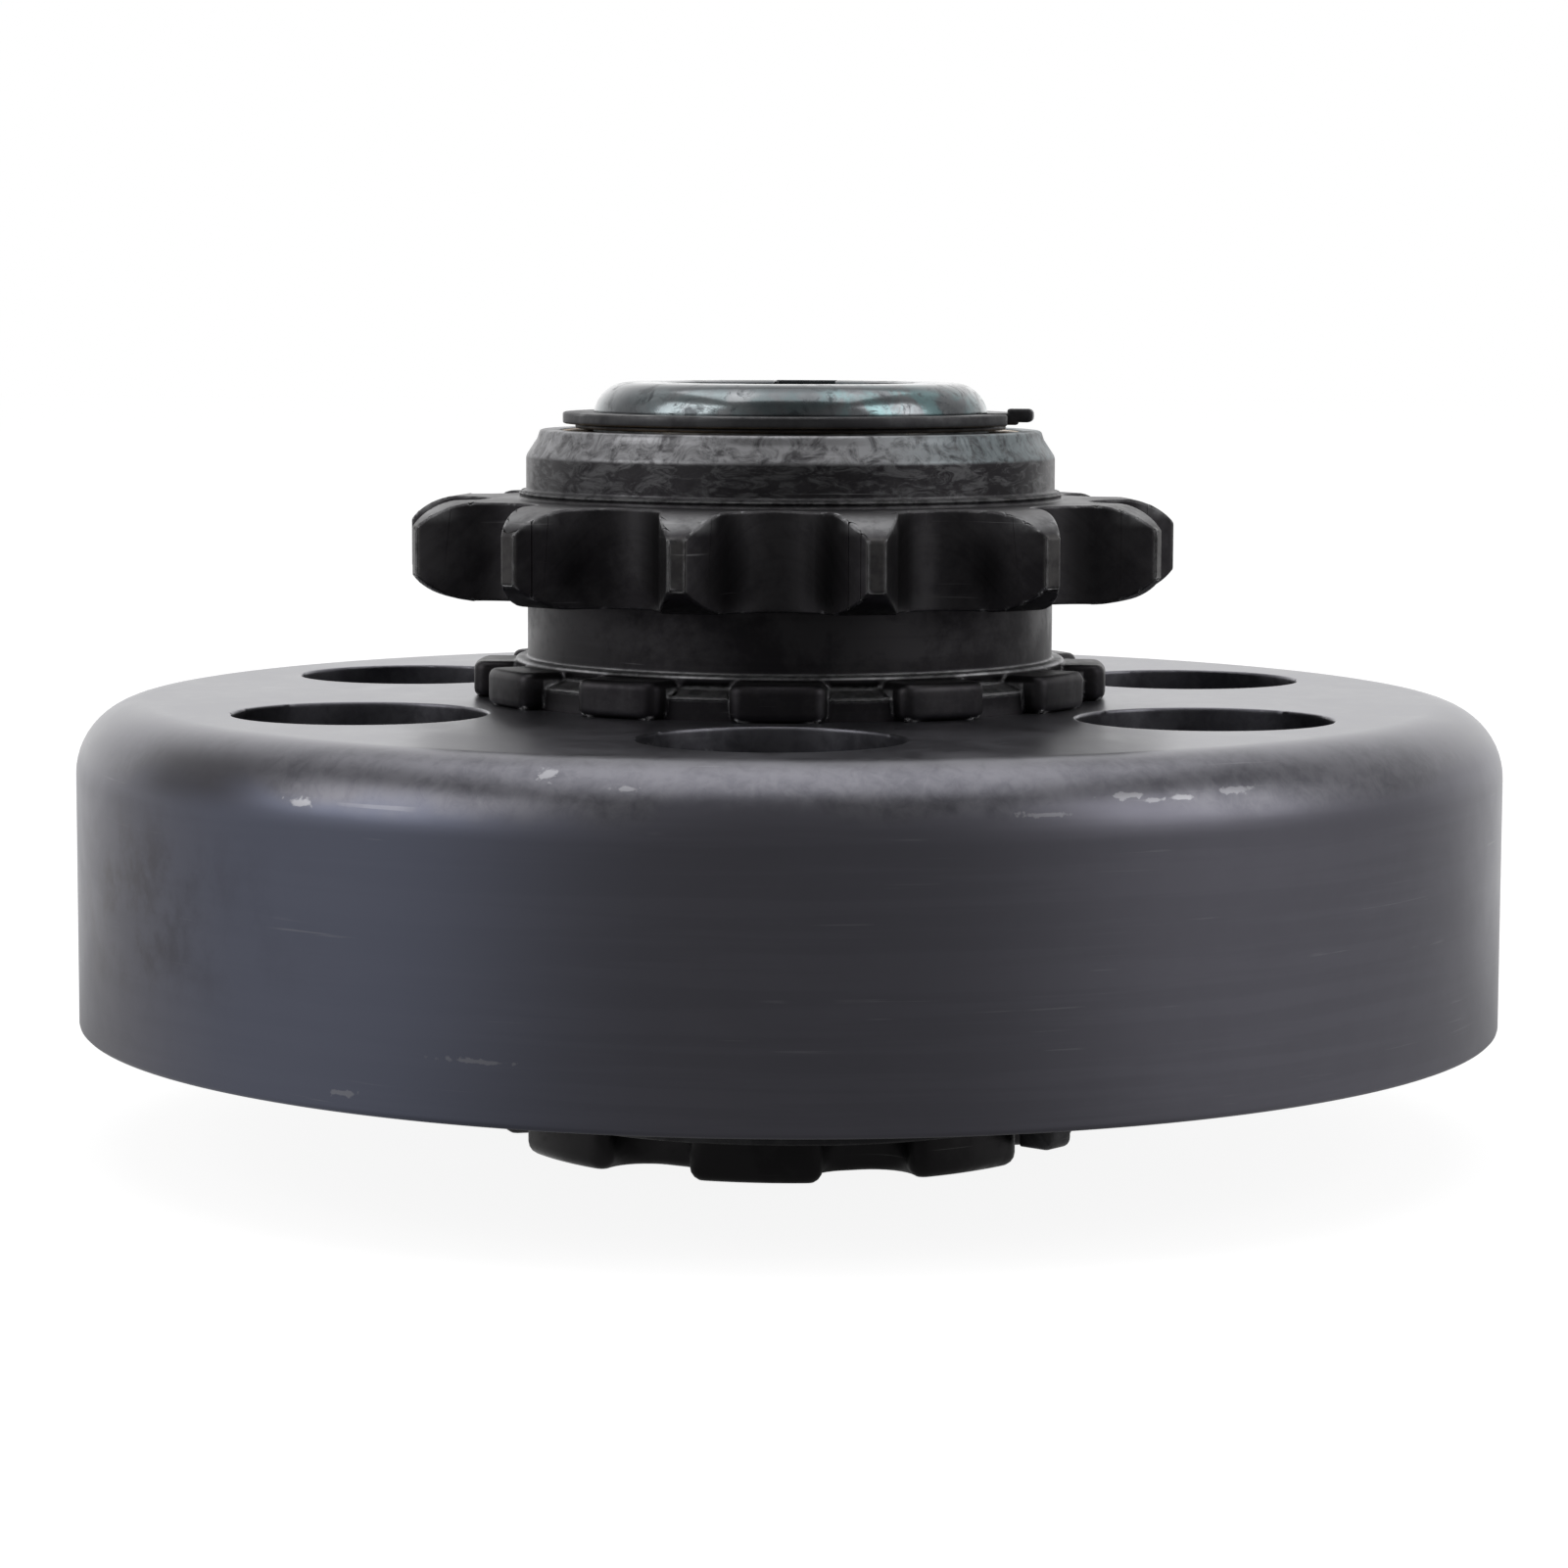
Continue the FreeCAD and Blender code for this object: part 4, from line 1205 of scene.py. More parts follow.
@dataclass(frozen=True)
class ToothFinish(MetalFinish):
    """Sprocket steel: near black, with worn tips, painted highlights on the teeth's tops, the cone and the
    step, and a lighter mottled bevel at its end.

    Args:
        tip: Colour of the worn tips.
        tip_radius: Radius at which the wear is full.
        worn: Colour of the lighter end.
        tint: Colour of the greenish film on it.
        worn_height: Height at which it starts.
        streak: Colour of the light streaks on the upper sleeve.
        sleeve_height: Where that sleeve starts.
        bevel: Colour of the painted highlight on the rounded tops of the teeth near their tips.
        face_height: Where the teeth start to round over at the top.
        cone: The painted highlight on the cone between the dogs.
        step: The painted highlight on the step at the lower sleeve's base.
    """

    tip: Colour = (0.075, 0.072, 0.072)
    tip_radius: float = 29.1 * MM
    worn: Colour = (0.27, 0.27, 0.28)
    tint: Colour = (0.15, 0.19, 0.20)
    worn_height: float = 51.7 * MM
    streak: Colour = (0.15, 0.15, 0.155)
    sleeve_height: float = 49.0 * MM
    bevel: Colour = (0.17, 0.17, 0.175)
    face_height: float = 46.7 * MM
    cone: HighlightLine = HighlightLine(35.3 * MM, 0.45 * MM, 21.5 * MM, 0.75)
    step: HighlightLine = HighlightLine(36.45 * MM, 0.22 * MM, 20.6 * MM, 1.0)

    def local_look(
        self, at: Spot, colour: bpy.types.NodeSocket, roughness: bpy.types.NodeSocket
    ) -> tuple[bpy.types.NodeSocket, bpy.types.NodeSocket]:
        """Add the worn tips, the painted highlights and the lighter end.

        Args:
            at: What the finish reads.
            colour: The colour so far.
            roughness: The roughness so far.

        Returns:
            The changed colour and the same roughness.
        """
        sheet = at.sheet
        tips = sheet.spread(at.radius, self.tip_radius - 0.25 * MM, self.tip_radius)
        patchy = sheet.spread(
            sheet.noise(at.where, 700.0, detail=4.0, roughness=0.65), 0.35, 0.6, 0.45, 1.0
        )
        colour = sheet.blend(sheet.math("MULTIPLY", tips, patchy), colour, self.tip)
        # Painted highlight: the rounded tops of the teeth near their tips, lighter where they catch the
        # light.
        face = sheet.spread(at.height, self.face_height, self.face_height + 0.9 * MM)
        rim = sheet.spread(at.radius, self.tip_radius - 3.2 * MM, self.tip_radius - 1.2 * MM)
        below = sheet.spread(at.height, self.sleeve_height, self.sleeve_height - 0.3 * MM)
        colour = sheet.blend(sheet.product(face, rim, below, patchy), colour, self.bevel)
        sleeve = sheet.spread(at.height, self.sleeve_height, self.sleeve_height + 0.2 * MM)
        smeared = sheet.noise(
            sheet.stretch(at.where, 450.0, 1300.0), 1.0, detail=6.0, roughness=0.7, distortion=1.0
        )
        streaks = sheet.math("MULTIPLY", sleeve, sheet.spread(smeared, 0.44, 0.64, 0.0, 0.6))
        colour = sheet.blend(streaks, colour, self.streak)
        # Painted highlights: lines of light on the cone between the dogs and on the step, in a pale steel
        # colour.
        for line in (self.cone, self.step):
            level = sheet.spread(sheet.distance(at.height, line.height), line.reach, line.reach * 0.4)
            off = sheet.distance(at.radius, line.radius)
            band = sheet.spread(off, 0.95 * MM, 0.8 * MM, 0.0, line.amount)
            colour = sheet.blend(sheet.product(level, band, patchy), colour, self.pale_steel)
        high = sheet.spread(at.height, self.worn_height - 0.3 * MM, self.worn_height)
        blotch = sheet.spread(
            sheet.noise(at.where, 620.0, detail=6.0, roughness=0.7, distortion=0.8), 0.34, 0.6, 0.1, 1.0
        )
        right = sheet.math("MULTIPLY", sheet.spread(at.angle, 0.1, 0.9), 0.7)
        light = sheet.blend(right, self.worn, self.tint)
        return sheet.blend(sheet.math("MULTIPLY", high, blotch), colour, light), roughness


@dataclass(frozen=True)
class NoseFinish(MetalFinish):
    """Hub steel: an oily tint and smudges on the nose, painted dark reflection bands on it, and painted
    shade on the foot.

    Args:
        tint: Colour of the oily film on the nose.
        shade_and_smudge: Colour of the dark smudges on it, of its darker end face and of the painted
            reflection bands.
        nose_height: Where the nose starts.
        crown_height: Where its darker end face starts.
        nose_roughness: Roughness of the nose.
        foot: Colour of the foot, painted dark as the shade under the drum.
        shaded_foot_height: Where the painted shade on the foot ends.
    """

    tint: Colour = (0.20, 0.30, 0.31)
    shade_and_smudge: Colour = (0.05, 0.055, 0.06)
    nose_height: float = 54.9 * MM
    crown_height: float = 56.85 * MM
    nose_roughness: float = 0.16
    foot: Colour = (0.028, 0.027, 0.028)
    shaded_foot_height: float = 10.0 * MM

    def local_look(
        self, at: Spot, colour: bpy.types.NodeSocket, roughness: bpy.types.NodeSocket
    ) -> tuple[bpy.types.NodeSocket, bpy.types.NodeSocket]:
        """Add the tint, the smudges, the painted reflection bands and the painted shade on the foot.

        Args:
            at: What the finish reads.
            colour: The colour so far.
            roughness: The roughness so far.

        Returns:
            The changed colour and roughness.
        """
        sheet = at.sheet
        nose = sheet.spread(at.height, self.nose_height - 0.2 * MM, self.nose_height)
        right = sheet.spread(at.angle, -0.5, 0.7, 0.25, 1.0)
        cloud = sheet.spread(sheet.noise(at.where, 260.0, detail=4.0, distortion=1.2), 0.42, 0.6)
        tinted = sheet.blend(sheet.math("MULTIPLY", cloud, right), colour, self.tint)
        blots = sheet.noise(at.where, 520.0, detail=6.0, roughness=0.7, distortion=1.0)
        blot = sheet.spread(blots, 0.5, 0.64)
        tinted = sheet.blend(sheet.math("MULTIPLY", blot, 0.8), tinted, self.shade_and_smudge)
        colour = sheet.blend(nose, colour, tinted)
        # Painted reflection: dark bands at the front and at both sides of the nose, as it mirrors dark
        # surroundings.
        aside = sheet.math("ABSOLUTE", at.angle)
        ends = sheet.math("MAXIMUM", sheet.spread(aside, 0.28, 0.1), sheet.spread(aside, 0.75, 1.0))
        colour = sheet.blend(sheet.product(ends, nose, 0.6), colour, self.shade_and_smudge)
        crown = sheet.spread(at.height, self.crown_height - 0.5 * MM, self.crown_height, 0.0, 0.8)
        colour = sheet.blend(crown, colour, self.shade_and_smudge)
        smooth = sheet.math("ADD", self.nose_roughness, sheet.math("MULTIPLY", blot, 0.15))
        # Painted shade: the foot, under the drum, darkened as its shadow.
        low = sheet.spread(at.height, self.shaded_foot_height, self.shaded_foot_height - 1.0 * MM)
        return sheet.blend(low, colour, self.foot), sheet.towards(nose, roughness, smooth)


@dataclass(frozen=True)
class LiningFinish:
    """Moulded friction lining: a dull brown-grey with light and brass-like flecks.

    Args:
        name: The material's name.
        base: Colour of the binder.
        fleck: Colour of the flecks.
        dust: Colour of wear dust.
        bump: Strength of the bump.
        bump_depth: Depth of the bump.
    """

    name: str = "moulded_lining"
    base: Colour = (0.075, 0.062, 0.052)
    fleck: Colour = (0.30, 0.24, 0.15)
    dust: Colour = (0.16, 0.145, 0.13)
    bump: float = 0.5
    bump_depth: float = 0.05 * MM

    def build(self, effects: SharedEffects) -> bpy.types.Material:
        """Make the material.

        Args:
            effects: The shared node groups.

        Returns:
            The material.
        """
        material, sheet = new_material(self.name)
        where = sheet.node("ShaderNodeTexCoord").outputs["Object"]
        speck = sheet.spread(sheet.cells(where, 1400.0), 0.3, 0.16)
        fleck = sheet.math("MULTIPLY", speck, sheet.spread(sheet.noise(where, 900.0), 0.5, 0.6))
        dust = sheet.group(effects.mottle, Vector=where, Patch=260.0, Cover=0.45, Softness=0.2)["Mask"]
        colour = sheet.blend(sheet.math("MULTIPLY", dust, 0.6), self.base, self.dust)
        colour = sheet.blend(fleck, colour, self.fleck)
        roughness = sheet.spread(dust, 0.0, 1.0, 0.7, 0.9)
        grit = sheet.noise(where, 1800.0, detail=5.0, roughness=0.7)
        sheet.surface(colour, roughness, grit, self.bump, self.bump_depth)
        return material


class Finishes:
    """Every finish of the clutch, built once."""

    def __init__(self) -> None:
        """Build the node groups and the materials."""
        effects = SharedEffects()
        self.studio = effects.studio
        self.drum = DrumFinish(
            "turned_drum_steel",
            clean=(0.152, 0.150, 0.177),
            filmed=(0.132, 0.130, 0.153),
            pale_steel=(0.34, 0.34, 0.36),
            roughness=0.34,
            film_roughness=0.40,
            patch=60.0,
            softness=0.45,
            line_depth=0.03,
            edge_strength=0.35,
            scratches=0.25,
            bump=0.10,
            # Scratches on the bend and the wall, painted bright as their glints.
            flecks=(
                Fleck(-0.66, 29.74, 0.0164, 0.25, 0.8),
                Fleck(-0.311, 32.46, 0.0104, 0.28, 0.7),
                Fleck(0.432, 31.08, 0.022, 0.18, 0.7),
                Fleck(0.466, 30.7, 0.014, 0.15, 0.6),
                Fleck(0.507, 30.78, 0.0173, 0.18, 0.8),
                Fleck(0.319, 30.07, 0.0282, 0.15, 0.45),
                Fleck(0.594, 31.04, 0.0218, 0.18, 0.5),
                Fleck(-0.389, 13.64, 0.0342, 0.13, 0.4),
                Fleck(-0.588, 10.66, 0.0186, 0.2, 0.45),
                Fleck(-0.203, 31.69, 0.0111, 0.17, 0.5),
            ),
        ).build(effects)
        self.sprocket = ToothFinish(
            "blackened_sprocket_steel",
            clean=(0.047, 0.045, 0.048),
            filmed=(0.029, 0.027, 0.030),
            pale_steel=(0.40, 0.40, 0.41),
            roughness=0.42,
            film_roughness=0.50,
            line_depth=0.06,
            edge_strength=0.75,
            scratches=0.25,
            bump=0.15,
        ).build(effects)
        self.hub = NoseFinish(
            "oiled_hub_steel",
            clean=(0.27, 0.28, 0.29),
            filmed=(0.17, 0.18, 0.19),
            pale_steel=(0.45, 0.45, 0.45),
            roughness=0.28,
            edge_strength=0.25,
            scratches=0.2,
            line_depth=0.1,
        ).build(effects)
        self.shoe = MetalFinish(
            "sintered_shoe_steel",
            clean=(0.20, 0.195, 0.19),
            filmed=(0.12, 0.115, 0.11),
            pale_steel=(0.42, 0.41, 0.40),
        ).build(effects)
        self.lining = LiningFinish().build(effects)
        self.bronze = MetalFinish(
            "oil_filled_bronze",
            clean=(0.46, 0.30, 0.13),
            filmed=(0.28, 0.18, 0.09),
            pale_steel=(0.70, 0.50, 0.25),
            roughness=0.32,
        ).build(effects)
        self.ring = MetalFinish(
            "black_ring_steel",
            clean=(0.070, 0.070, 0.073),
            filmed=(0.045, 0.044, 0.047),
            pale_steel=(0.30, 0.30, 0.30),
            edge_strength=0.4,
            line_depth=0.1,
        ).build(effects)
        self.wire = MetalFinish(
            "drawn_spring_wire",
            clean=(0.26, 0.25, 0.235),
            filmed=(0.14, 0.13, 0.12),
            pale_steel=(0.50, 0.49, 0.47),
        ).build(effects)
        self.plate = MetalFinish(
            "pressed_plate_steel",
            clean=(0.24, 0.24, 0.245),
            filmed=(0.14, 0.14, 0.145),
            pale_steel=(0.50, 0.50, 0.50),
            patch=90.0,
        ).build(effects)


@dataclass
class DrumShell:
    """The pressed drum: side wall, bend and web, vented and notched."""

    radius: float = 53.49 * MM
    wall: float = 2.99 * MM
    rim: float = 9.25 * MM
    web_top: float = 33.45 * MM
    web: float = 3.0 * MM
    bend: float = 5.3 * MM
    rim_chamfer: float = 0.4 * MM
    web_hole: float = 22.35 * MM
    phase: float = DOG_PHASE
    vent_radius: float = 9.235 * MM
    vent_circle: float = 35.1 * MM
    vents: int = 6
    notch_reach: float = 23.3 * MM
    notch_width: float = 5.8 * MM
    notches: int = DOGS

    def blank(self) -> bmesh.types.BMesh:
        """The turned cup, before its holes.

        Returns:
            The closed solid.
        """
        inner = self.radius - self.wall
        return turned_solid(
            [
                Corner(inner, self.rim, self.rim_chamfer, 2),
                Corner(self.radius, self.rim, self.rim_chamfer, 3),
                Corner(self.radius, self.web_top, self.bend, 14),
                Corner(self.web_hole, self.web_top),
                Corner(self.web_hole, self.web_top - self.web),
                Corner(inner, self.web_top - self.web, self.bend - self.web, 8),
            ],
            FINE_STEPS,
        )

    def vent_tool(self) -> bmesh.types.BMesh:
        """The round cutters of all the vent holes.

        Returns:
            The closed solids.
        """
        tool = bmesh.new()
        bmesh.ops.create_cone(
            tool,
            cap_ends=True,
            segments=96,
            radius1=self.vent_radius,
            radius2=self.vent_radius,
            depth=self.web + OVERRUN * 2,
            matrix=Matrix.Translation((self.vent_circle, 0, self.web_top - self.web / 2)),
        )
        return turn_solid(repeated(tidy_solid(tool), self.vents), self.phase)

    def notch_tool(self) -> bmesh.types.BMesh:
        """The cutters of the notches that take the sprocket's dogs.

        Returns:
            The closed solids.
        """
        bottom = self.web_top - self.web - OVERRUN
        tool = block(
            (self.web_hole - OVERRUN * 2, -self.notch_width / 2, bottom),
            (self.notch_reach, self.notch_width / 2, self.web_top + OVERRUN),
        )
        return turn_solid(repeated(tool, self.notches), self.phase)

    def build(self, finish: bpy.types.Material) -> bpy.types.Object:
        """Make the drum.

        Args:
            finish: Its material.

        Returns:
            The object.
        """
        solid = combine(self.blank(), self.vent_tool(), Boolean.CUT)
        solid = combine(solid, self.notch_tool(), Boolean.CUT)
        body = Body.DRUM.value
        return finished_piece("drum_shell", solid, finish, body, ["clutch_drum"])


@dataclass
class SprocketSleeve:
    """The chain sprocket with its sleeves, its dogs and its collar."""

    bore: float = 17.3 * MM
    collar: float = 26.0 * MM
    collar_bottom: float = 28.5 * MM
    web_bottom: float = 30.45 * MM
    web_top: float = 33.45 * MM
    spigot: float = 22.3 * MM
    spigot_top: float = 35.05 * MM
    step: float = 20.7 * MM
    step_bottom: float = 35.6 * MM
    step_top: float = 36.5 * MM
    lower_sleeve: float = 19.8 * MM
    tooth_bottom: float = 41.2 * MM
    tooth_top: float = 48.4 * MM
    tip: float = 29.2 * MM
    face_rounding: float = 3.9 * MM
    tip_rounding: float = 1.85 * MM
    fillet_ring: float = 20.4 * MM
    fillet_top: float = 49.0 * MM
    upper_sleeve: float = 19.9 * MM
    bevel_bottom: float = 51.6 * MM
    bevel_depth: float = 0.85 * MM
    lip_bottom: float = 52.9 * MM
    lip_draft: float = 0.2 * MM
    top: float = 53.55 * MM
    dog_radius: float = 23.85 * MM
    dog_top: float = 36.15 * MM
    dog_width: float = 6.9 * MM
    dog_round: float = 0.6 * MM
    dog_corner: float = 1.0 * MM
    dogs: int = DOGS
    dog_face: tuple[float, ...] = (0.03, 0.07)
    phase: float = DOG_PHASE
    teeth: int = 13
    tooth_phase: float = 11.85
    pitch: float = 12.7 * MM
    seat_radius: float = 4.0 * MM
    flank_overrun: float = 0.4 * MM
    flank_land: float = 0.5 * MM
    edge: float = 0.12 * MM
    soft_edge: float = 0.2 * MM
    lip_edge: float = 0.1 * MM

    def blank(self) -> bmesh.types.BMesh:
        """The turned form with the full tooth disc and no dogs.

        Returns:
            The closed solid.
        """
        arc_radius = (self.face_rounding**2 + self.tip_rounding**2) / (2 * self.tip_rounding)
        arc_angle = math.asin(self.face_rounding / arc_radius)
        reach = arc_radius * math.tan(arc_angle / 2)
        knee = self.tip - self.face_rounding + reach
        lip = self.upper_sleeve - self.bevel_depth
        return turned_solid(
            [
                Corner(self.bore, self.collar_bottom),
                Corner(self.collar, self.collar_bottom, self.edge, 2),
                Corner(self.collar, self.web_bottom, self.edge, 2),
                Corner(self.spigot, self.web_bottom),
                Corner(self.spigot, self.spigot_top, self.edge, 2),
                Corner(self.step, self.step_bottom, self.edge, 2),
                Corner(self.step, self.step_top, self.soft_edge, 3),
                Corner(self.lower_sleeve, self.step_top),
                Corner(self.lower_sleeve, self.tooth_bottom),
                Corner(knee, self.tooth_bottom, reach, 10),
                Corner(self.tip, self.tooth_bottom + self.tip_rounding),
                Corner(self.tip, self.tooth_top - self.tip_rounding),
                Corner(knee, self.tooth_top, reach, 10),
                Corner(self.fillet_ring, self.tooth_top),
                Corner(self.fillet_ring, self.fillet_top, self.edge, 2),
                Corner(self.upper_sleeve, self.fillet_top),
                Corner(self.upper_sleeve, self.bevel_bottom, self.soft_edge, 3),
                Corner(lip, self.lip_bottom, self.lip_edge, 2),
                Corner(lip - self.lip_draft, self.top, self.soft_edge, 3),
                Corner(self.bore, self.top),
            ],
            FINE_STEPS,
        )

    def gap_tool(self) -> bmesh.types.BMesh:
        """The cutters of the tooth gaps: a roller seat with a curved flank each side.

        Returns:
            The closed solids.
        """
        half_pitch = math.pi / self.teeth
        pitch_radius = self.pitch / (2 * math.sin(half_pitch))
        seat_angle = math.radians((140.0 - 90.0 / self.teeth) / 2)
        cosine, sine = math.cos(seat_angle), math.sin(seat_angle)
        seat_end = Vector((pitch_radius - self.seat_radius * cosine, self.seat_radius * sine))
        end_radius = self.tip + self.flank_overrun
        end_angle = half_pitch - math.asin(self.flank_land / 2 / end_radius)
        chord = Vector((end_radius * math.cos(end_angle), end_radius * math.sin(end_angle))) - seat_end
        flank_radius = chord.length_squared / (2 * (chord.y * sine - chord.x * cosine))
        flank_centre = seat_end + Vector((-cosine, sine)) * flank_radius
        flank_sweep = 2 * math.asin(chord.length / 2 / flank_radius)

        tool = bmesh.new()
        bottom = self.tooth_bottom - OVERRUN
        root = tool.verts.new((pitch_radius - self.seat_radius, 0, bottom))
        seat_top = arc_from(tool, root, (pitch_radius, 0, bottom), -seat_angle, 10)
        tip = arc_from(tool, seat_top, (*flank_centre, bottom), flank_sweep, 8)
        outer = tool.verts.new((end_radius + OVERRUN, tip.co.y, bottom))
        tool.edges.new((tip, outer))
        bmesh.ops.mirror(tool, geom=tool.verts[:] + tool.edges[:], axis="Y", merge_dist=MERGE_DISTANCE)
        far = sorted(tool.verts, key=lambda vert: vert.co.x)[-2:]
        tool.edges.new(far)
        bmesh.ops.contextual_create(tool, geom=tool.edges[:])
        height = self.tooth_top - self.tooth_bottom + 2 * OVERRUN
        gap_phase = self.tooth_phase + 180.0 / self.teeth
        return turn_solid(repeated(raised_solid(tool, (0, 0, height)), self.teeth), gap_phase)

    def dog_solid(self) -> bmesh.types.BMesh:
        """The dogs: rounded blocks over the web, each on a narrower neck through it.

        Returns:
            The closed solids.
        """
        inside = self.lower_sleeve - self.bevel_depth
        half = self.dog_width / 2
        apex = rounded_apex(half, self.dog_radius, self.dog_corner, -1)
        reach = self.dog_radius
        face = [Corner(reach * math.cos(turn), reach * math.sin(turn)) for turn in self.dog_face]
        plan = mirrored_outline([*face, apex, Corner(inside, half)])
        dog = swept_solid(
            plan_face(plan), (0, 0, self.web_top), (0, 0, self.dog_top - self.web_top), self.dog_round
        )
        narrow = half - self.dog_round
        neck = block(
            (inside, -narrow, self.web_bottom),
            (reach - self.dog_round, narrow, self.web_top + self.dog_round),
        )
        solid = combine(dog, neck, Boolean.JOIN)
        return turn_solid(repeated(solid, self.dogs), self.phase)

    def build(self, finish: bpy.types.Material) -> bpy.types.Object:
        """Make the sprocket.

        Args:
            finish: Its material.

        Returns:
            The object.
        """
        solid = combine(self.blank(), self.gap_tool(), Boolean.CUT)
        solid = combine(solid, self.dog_solid(), Boolean.JOIN)
        body = Body.DRUM.value
        return finished_piece("sprocket_sleeve", solid, finish, body, ["chain_sprocket"])


@dataclass
class HubBody:
    """The driver hub: slotted foot and legs, flange and nose, bored and keyed."""

    bore: float = 9.535 * MM
    bore_chamfer: float = 0.5 * MM
    journal: float = 14.85 * MM
    nose_top: float = 57.1 * MM
    nose_knee: float = 14.522 * MM
    nose_start: float = 14.82 * MM
    nose_reach: float = 2.272 * MM
    ring_bottom: float = 54.0 * MM
    ring_top: float = 54.85 * MM
    ring_groove: float = 1.2 * MM
    foot: float = 21.8 * MM
    foot_rounding: float = 1.0 * MM
    foot_groove: float = 1.7 * MM
    foot_groove_bottom: float = 3.1 * MM
    foot_groove_top: float = 4.4 * MM
    leg: float = 35.5 * MM
    leg_bottom: float = 9.5 * MM
    leg_chamfer: float = 0.8 * MM
    flange: float = 38.5 * MM
    flange_bottom: float = 25.3 * MM
    flange_top: float = 27.3 * MM
    slot_floor: float = 17.4 * MM
    slot_width: float = 6.5 * MM
    slot_round: float = 2.5 * MM
    slot_mouth: float = 1.2 * MM
    slots: int = SHOES
    phase: float = SHOE_PHASE
    mouth_lean: float = 0.02 * MM
    edge: float = 0.15 * MM
    key_width: float = 4.79 * MM
    key_depth: float = 2.4 * MM
    key_angle: float = 173.5

    def blank(self) -> bmesh.types.BMesh:
        """The turned hub, before its slots and keyway.

        Returns:
            The closed solid.
        """
        return turned_solid(
            [
                Corner(self.bore, 0.0, self.bore_chamfer, 2),
                Corner(self.foot, 0.0),
                Corner(self.foot, self.foot_groove_bottom),
                Corner(self.foot - self.foot_groove, self.foot_groove_bottom),
                Corner(self.foot - self.foot_groove, self.foot_groove_top),
                Corner(self.foot, self.foot_groove_top),
                Corner(self.foot, self.leg_bottom),
                Corner(self.leg, self.leg_bottom, self.leg_chamfer, 2),
                Corner(self.leg, self.flange_bottom),
                Corner(self.flange, self.flange_bottom, self.edge, 2),
                Corner(self.flange, self.flange_top, self.edge, 2),
                Corner(self.journal, self.flange_top),
                Corner(self.journal, self.ring_bottom),
                Corner(self.journal - self.ring_groove, self.ring_bottom),
                Corner(self.journal - self.ring_groove, self.ring_top),
                Corner(self.nose_start, self.ring_top),
                Corner(self.nose_knee, self.nose_top, self.nose_reach, 10),
                Corner(self.bore, self.nose_top, self.bore_chamfer, 2),
            ],
            FINE_STEPS,
        )

    def slot_tool(self) -> bmesh.types.BMesh:
        """The cutters of the shoe slots.

        Returns:
            The closed solids.
        """
        half = self.slot_width / 2
        inner = Corner(self.slot_floor, half, self.slot_round, 8)
        plan = mirrored_outline([Corner(self.leg + OVERRUN, half), inner])
        tool = swept_solid(plan_face(plan), (0, 0, -OVERRUN), (0, 0, self.flange_bottom + OVERRUN))
        return turn_solid(repeated(tool, self.slots), self.phase)

    def mouth_tool(self) -> bmesh.types.BMesh:
        """The cutters that round both sides of each slot in the foot.

        Returns:
            The closed solids.
        """
        half = self.slot_width / 2
        apex = rounded_apex(half, self.foot, self.slot_mouth, 1)
        lean = math.asin((half + self.slot_mouth) / (self.foot - self.slot_mouth))
        run = apex.rounding + OVERRUN
        beside = Corner(apex.radius - run * math.sin(lean), half + run * math.cos(lean))
        outer = Corner(self.foot + 2 * OVERRUN, beside.height)
        inner = Corner(self.slot_floor + self.slot_round, half - self.mouth_lean)
        plan = mirrored_outline([outer, beside, apex, inner])
        tool = swept_solid(plan_face(plan), (0, 0, -OVERRUN), (0, 0, self.leg_bottom + OVERRUN))
        return turn_solid(repeated(tool, self.slots), self.phase)

    def soften_foot(self, solid: bmesh.types.BMesh) -> None:
        """Round the edges of the foot's underside, along its slots too.

        The flat sectors of the underside are joined first, so that none of them is folded.

        Args:
            solid: The slotted hub, changed in place.
        """
        level = {vert for vert in solid.verts if abs(vert.co.z) < MERGE_DISTANCE}
        sole = {face for face in solid.faces if level.issuperset(face.verts)}
        spokes = [edge for edge in solid.edges if sole.issuperset(edge.link_faces)]
        bmesh.ops.dissolve_limit(solid, angle_limit=STRAIGHT, verts=[], edges=spokes)
        spare = [
            vert
            for vert in solid.verts
            if abs(vert.co.z) < MERGE_DISTANCE
            and len(vert.link_edges) == 2
            and vert.calc_edge_angle(math.pi) < STRAIGHT
        ]
        bmesh.ops.dissolve_verts(solid, verts=spare)
        outside = {
            vert
            for vert in solid.verts
            if abs(vert.co.z) < MERGE_DISTANCE and vert.co.xy.length > self.slot_floor - OVERRUN
        }
        rim = [
            edge
            for edge in solid.edges
            if outside.issuperset(edge.verts) and edge.calc_face_angle(0.0) > SMOOTH_ANGLE
        ]
        round_off(solid, rim, self.foot_rounding, 4)
        LOG.info("foot rounded along %d edges", len(rim))

    def key_tool(self) -> bmesh.types.BMesh:
        """The cutter of the keyway.

        Returns:
            The closed solid.
        """
        tool = block(
            (0.0, -self.key_width / 2, -OVERRUN),
            (self.bore + self.key_depth, self.key_width / 2, self.nose_top + OVERRUN),
        )
        return turn_solid(tool, self.key_angle)

    def build(self, finish: bpy.types.Material) -> bpy.types.Object:
        """Make the hub.

        Args:
            finish: Its material.

        Returns:
            The object.
        """
        solid = self.blank()
        for tool in (self.slot_tool(), self.mouth_tool(), self.key_tool()):
            solid = combine(solid, tool, Boolean.CUT)
        self.soften_foot(solid)
        body = Body.HUB.value
        return finished_piece("hub_body", solid, finish, body, ["driver_hub"], None)


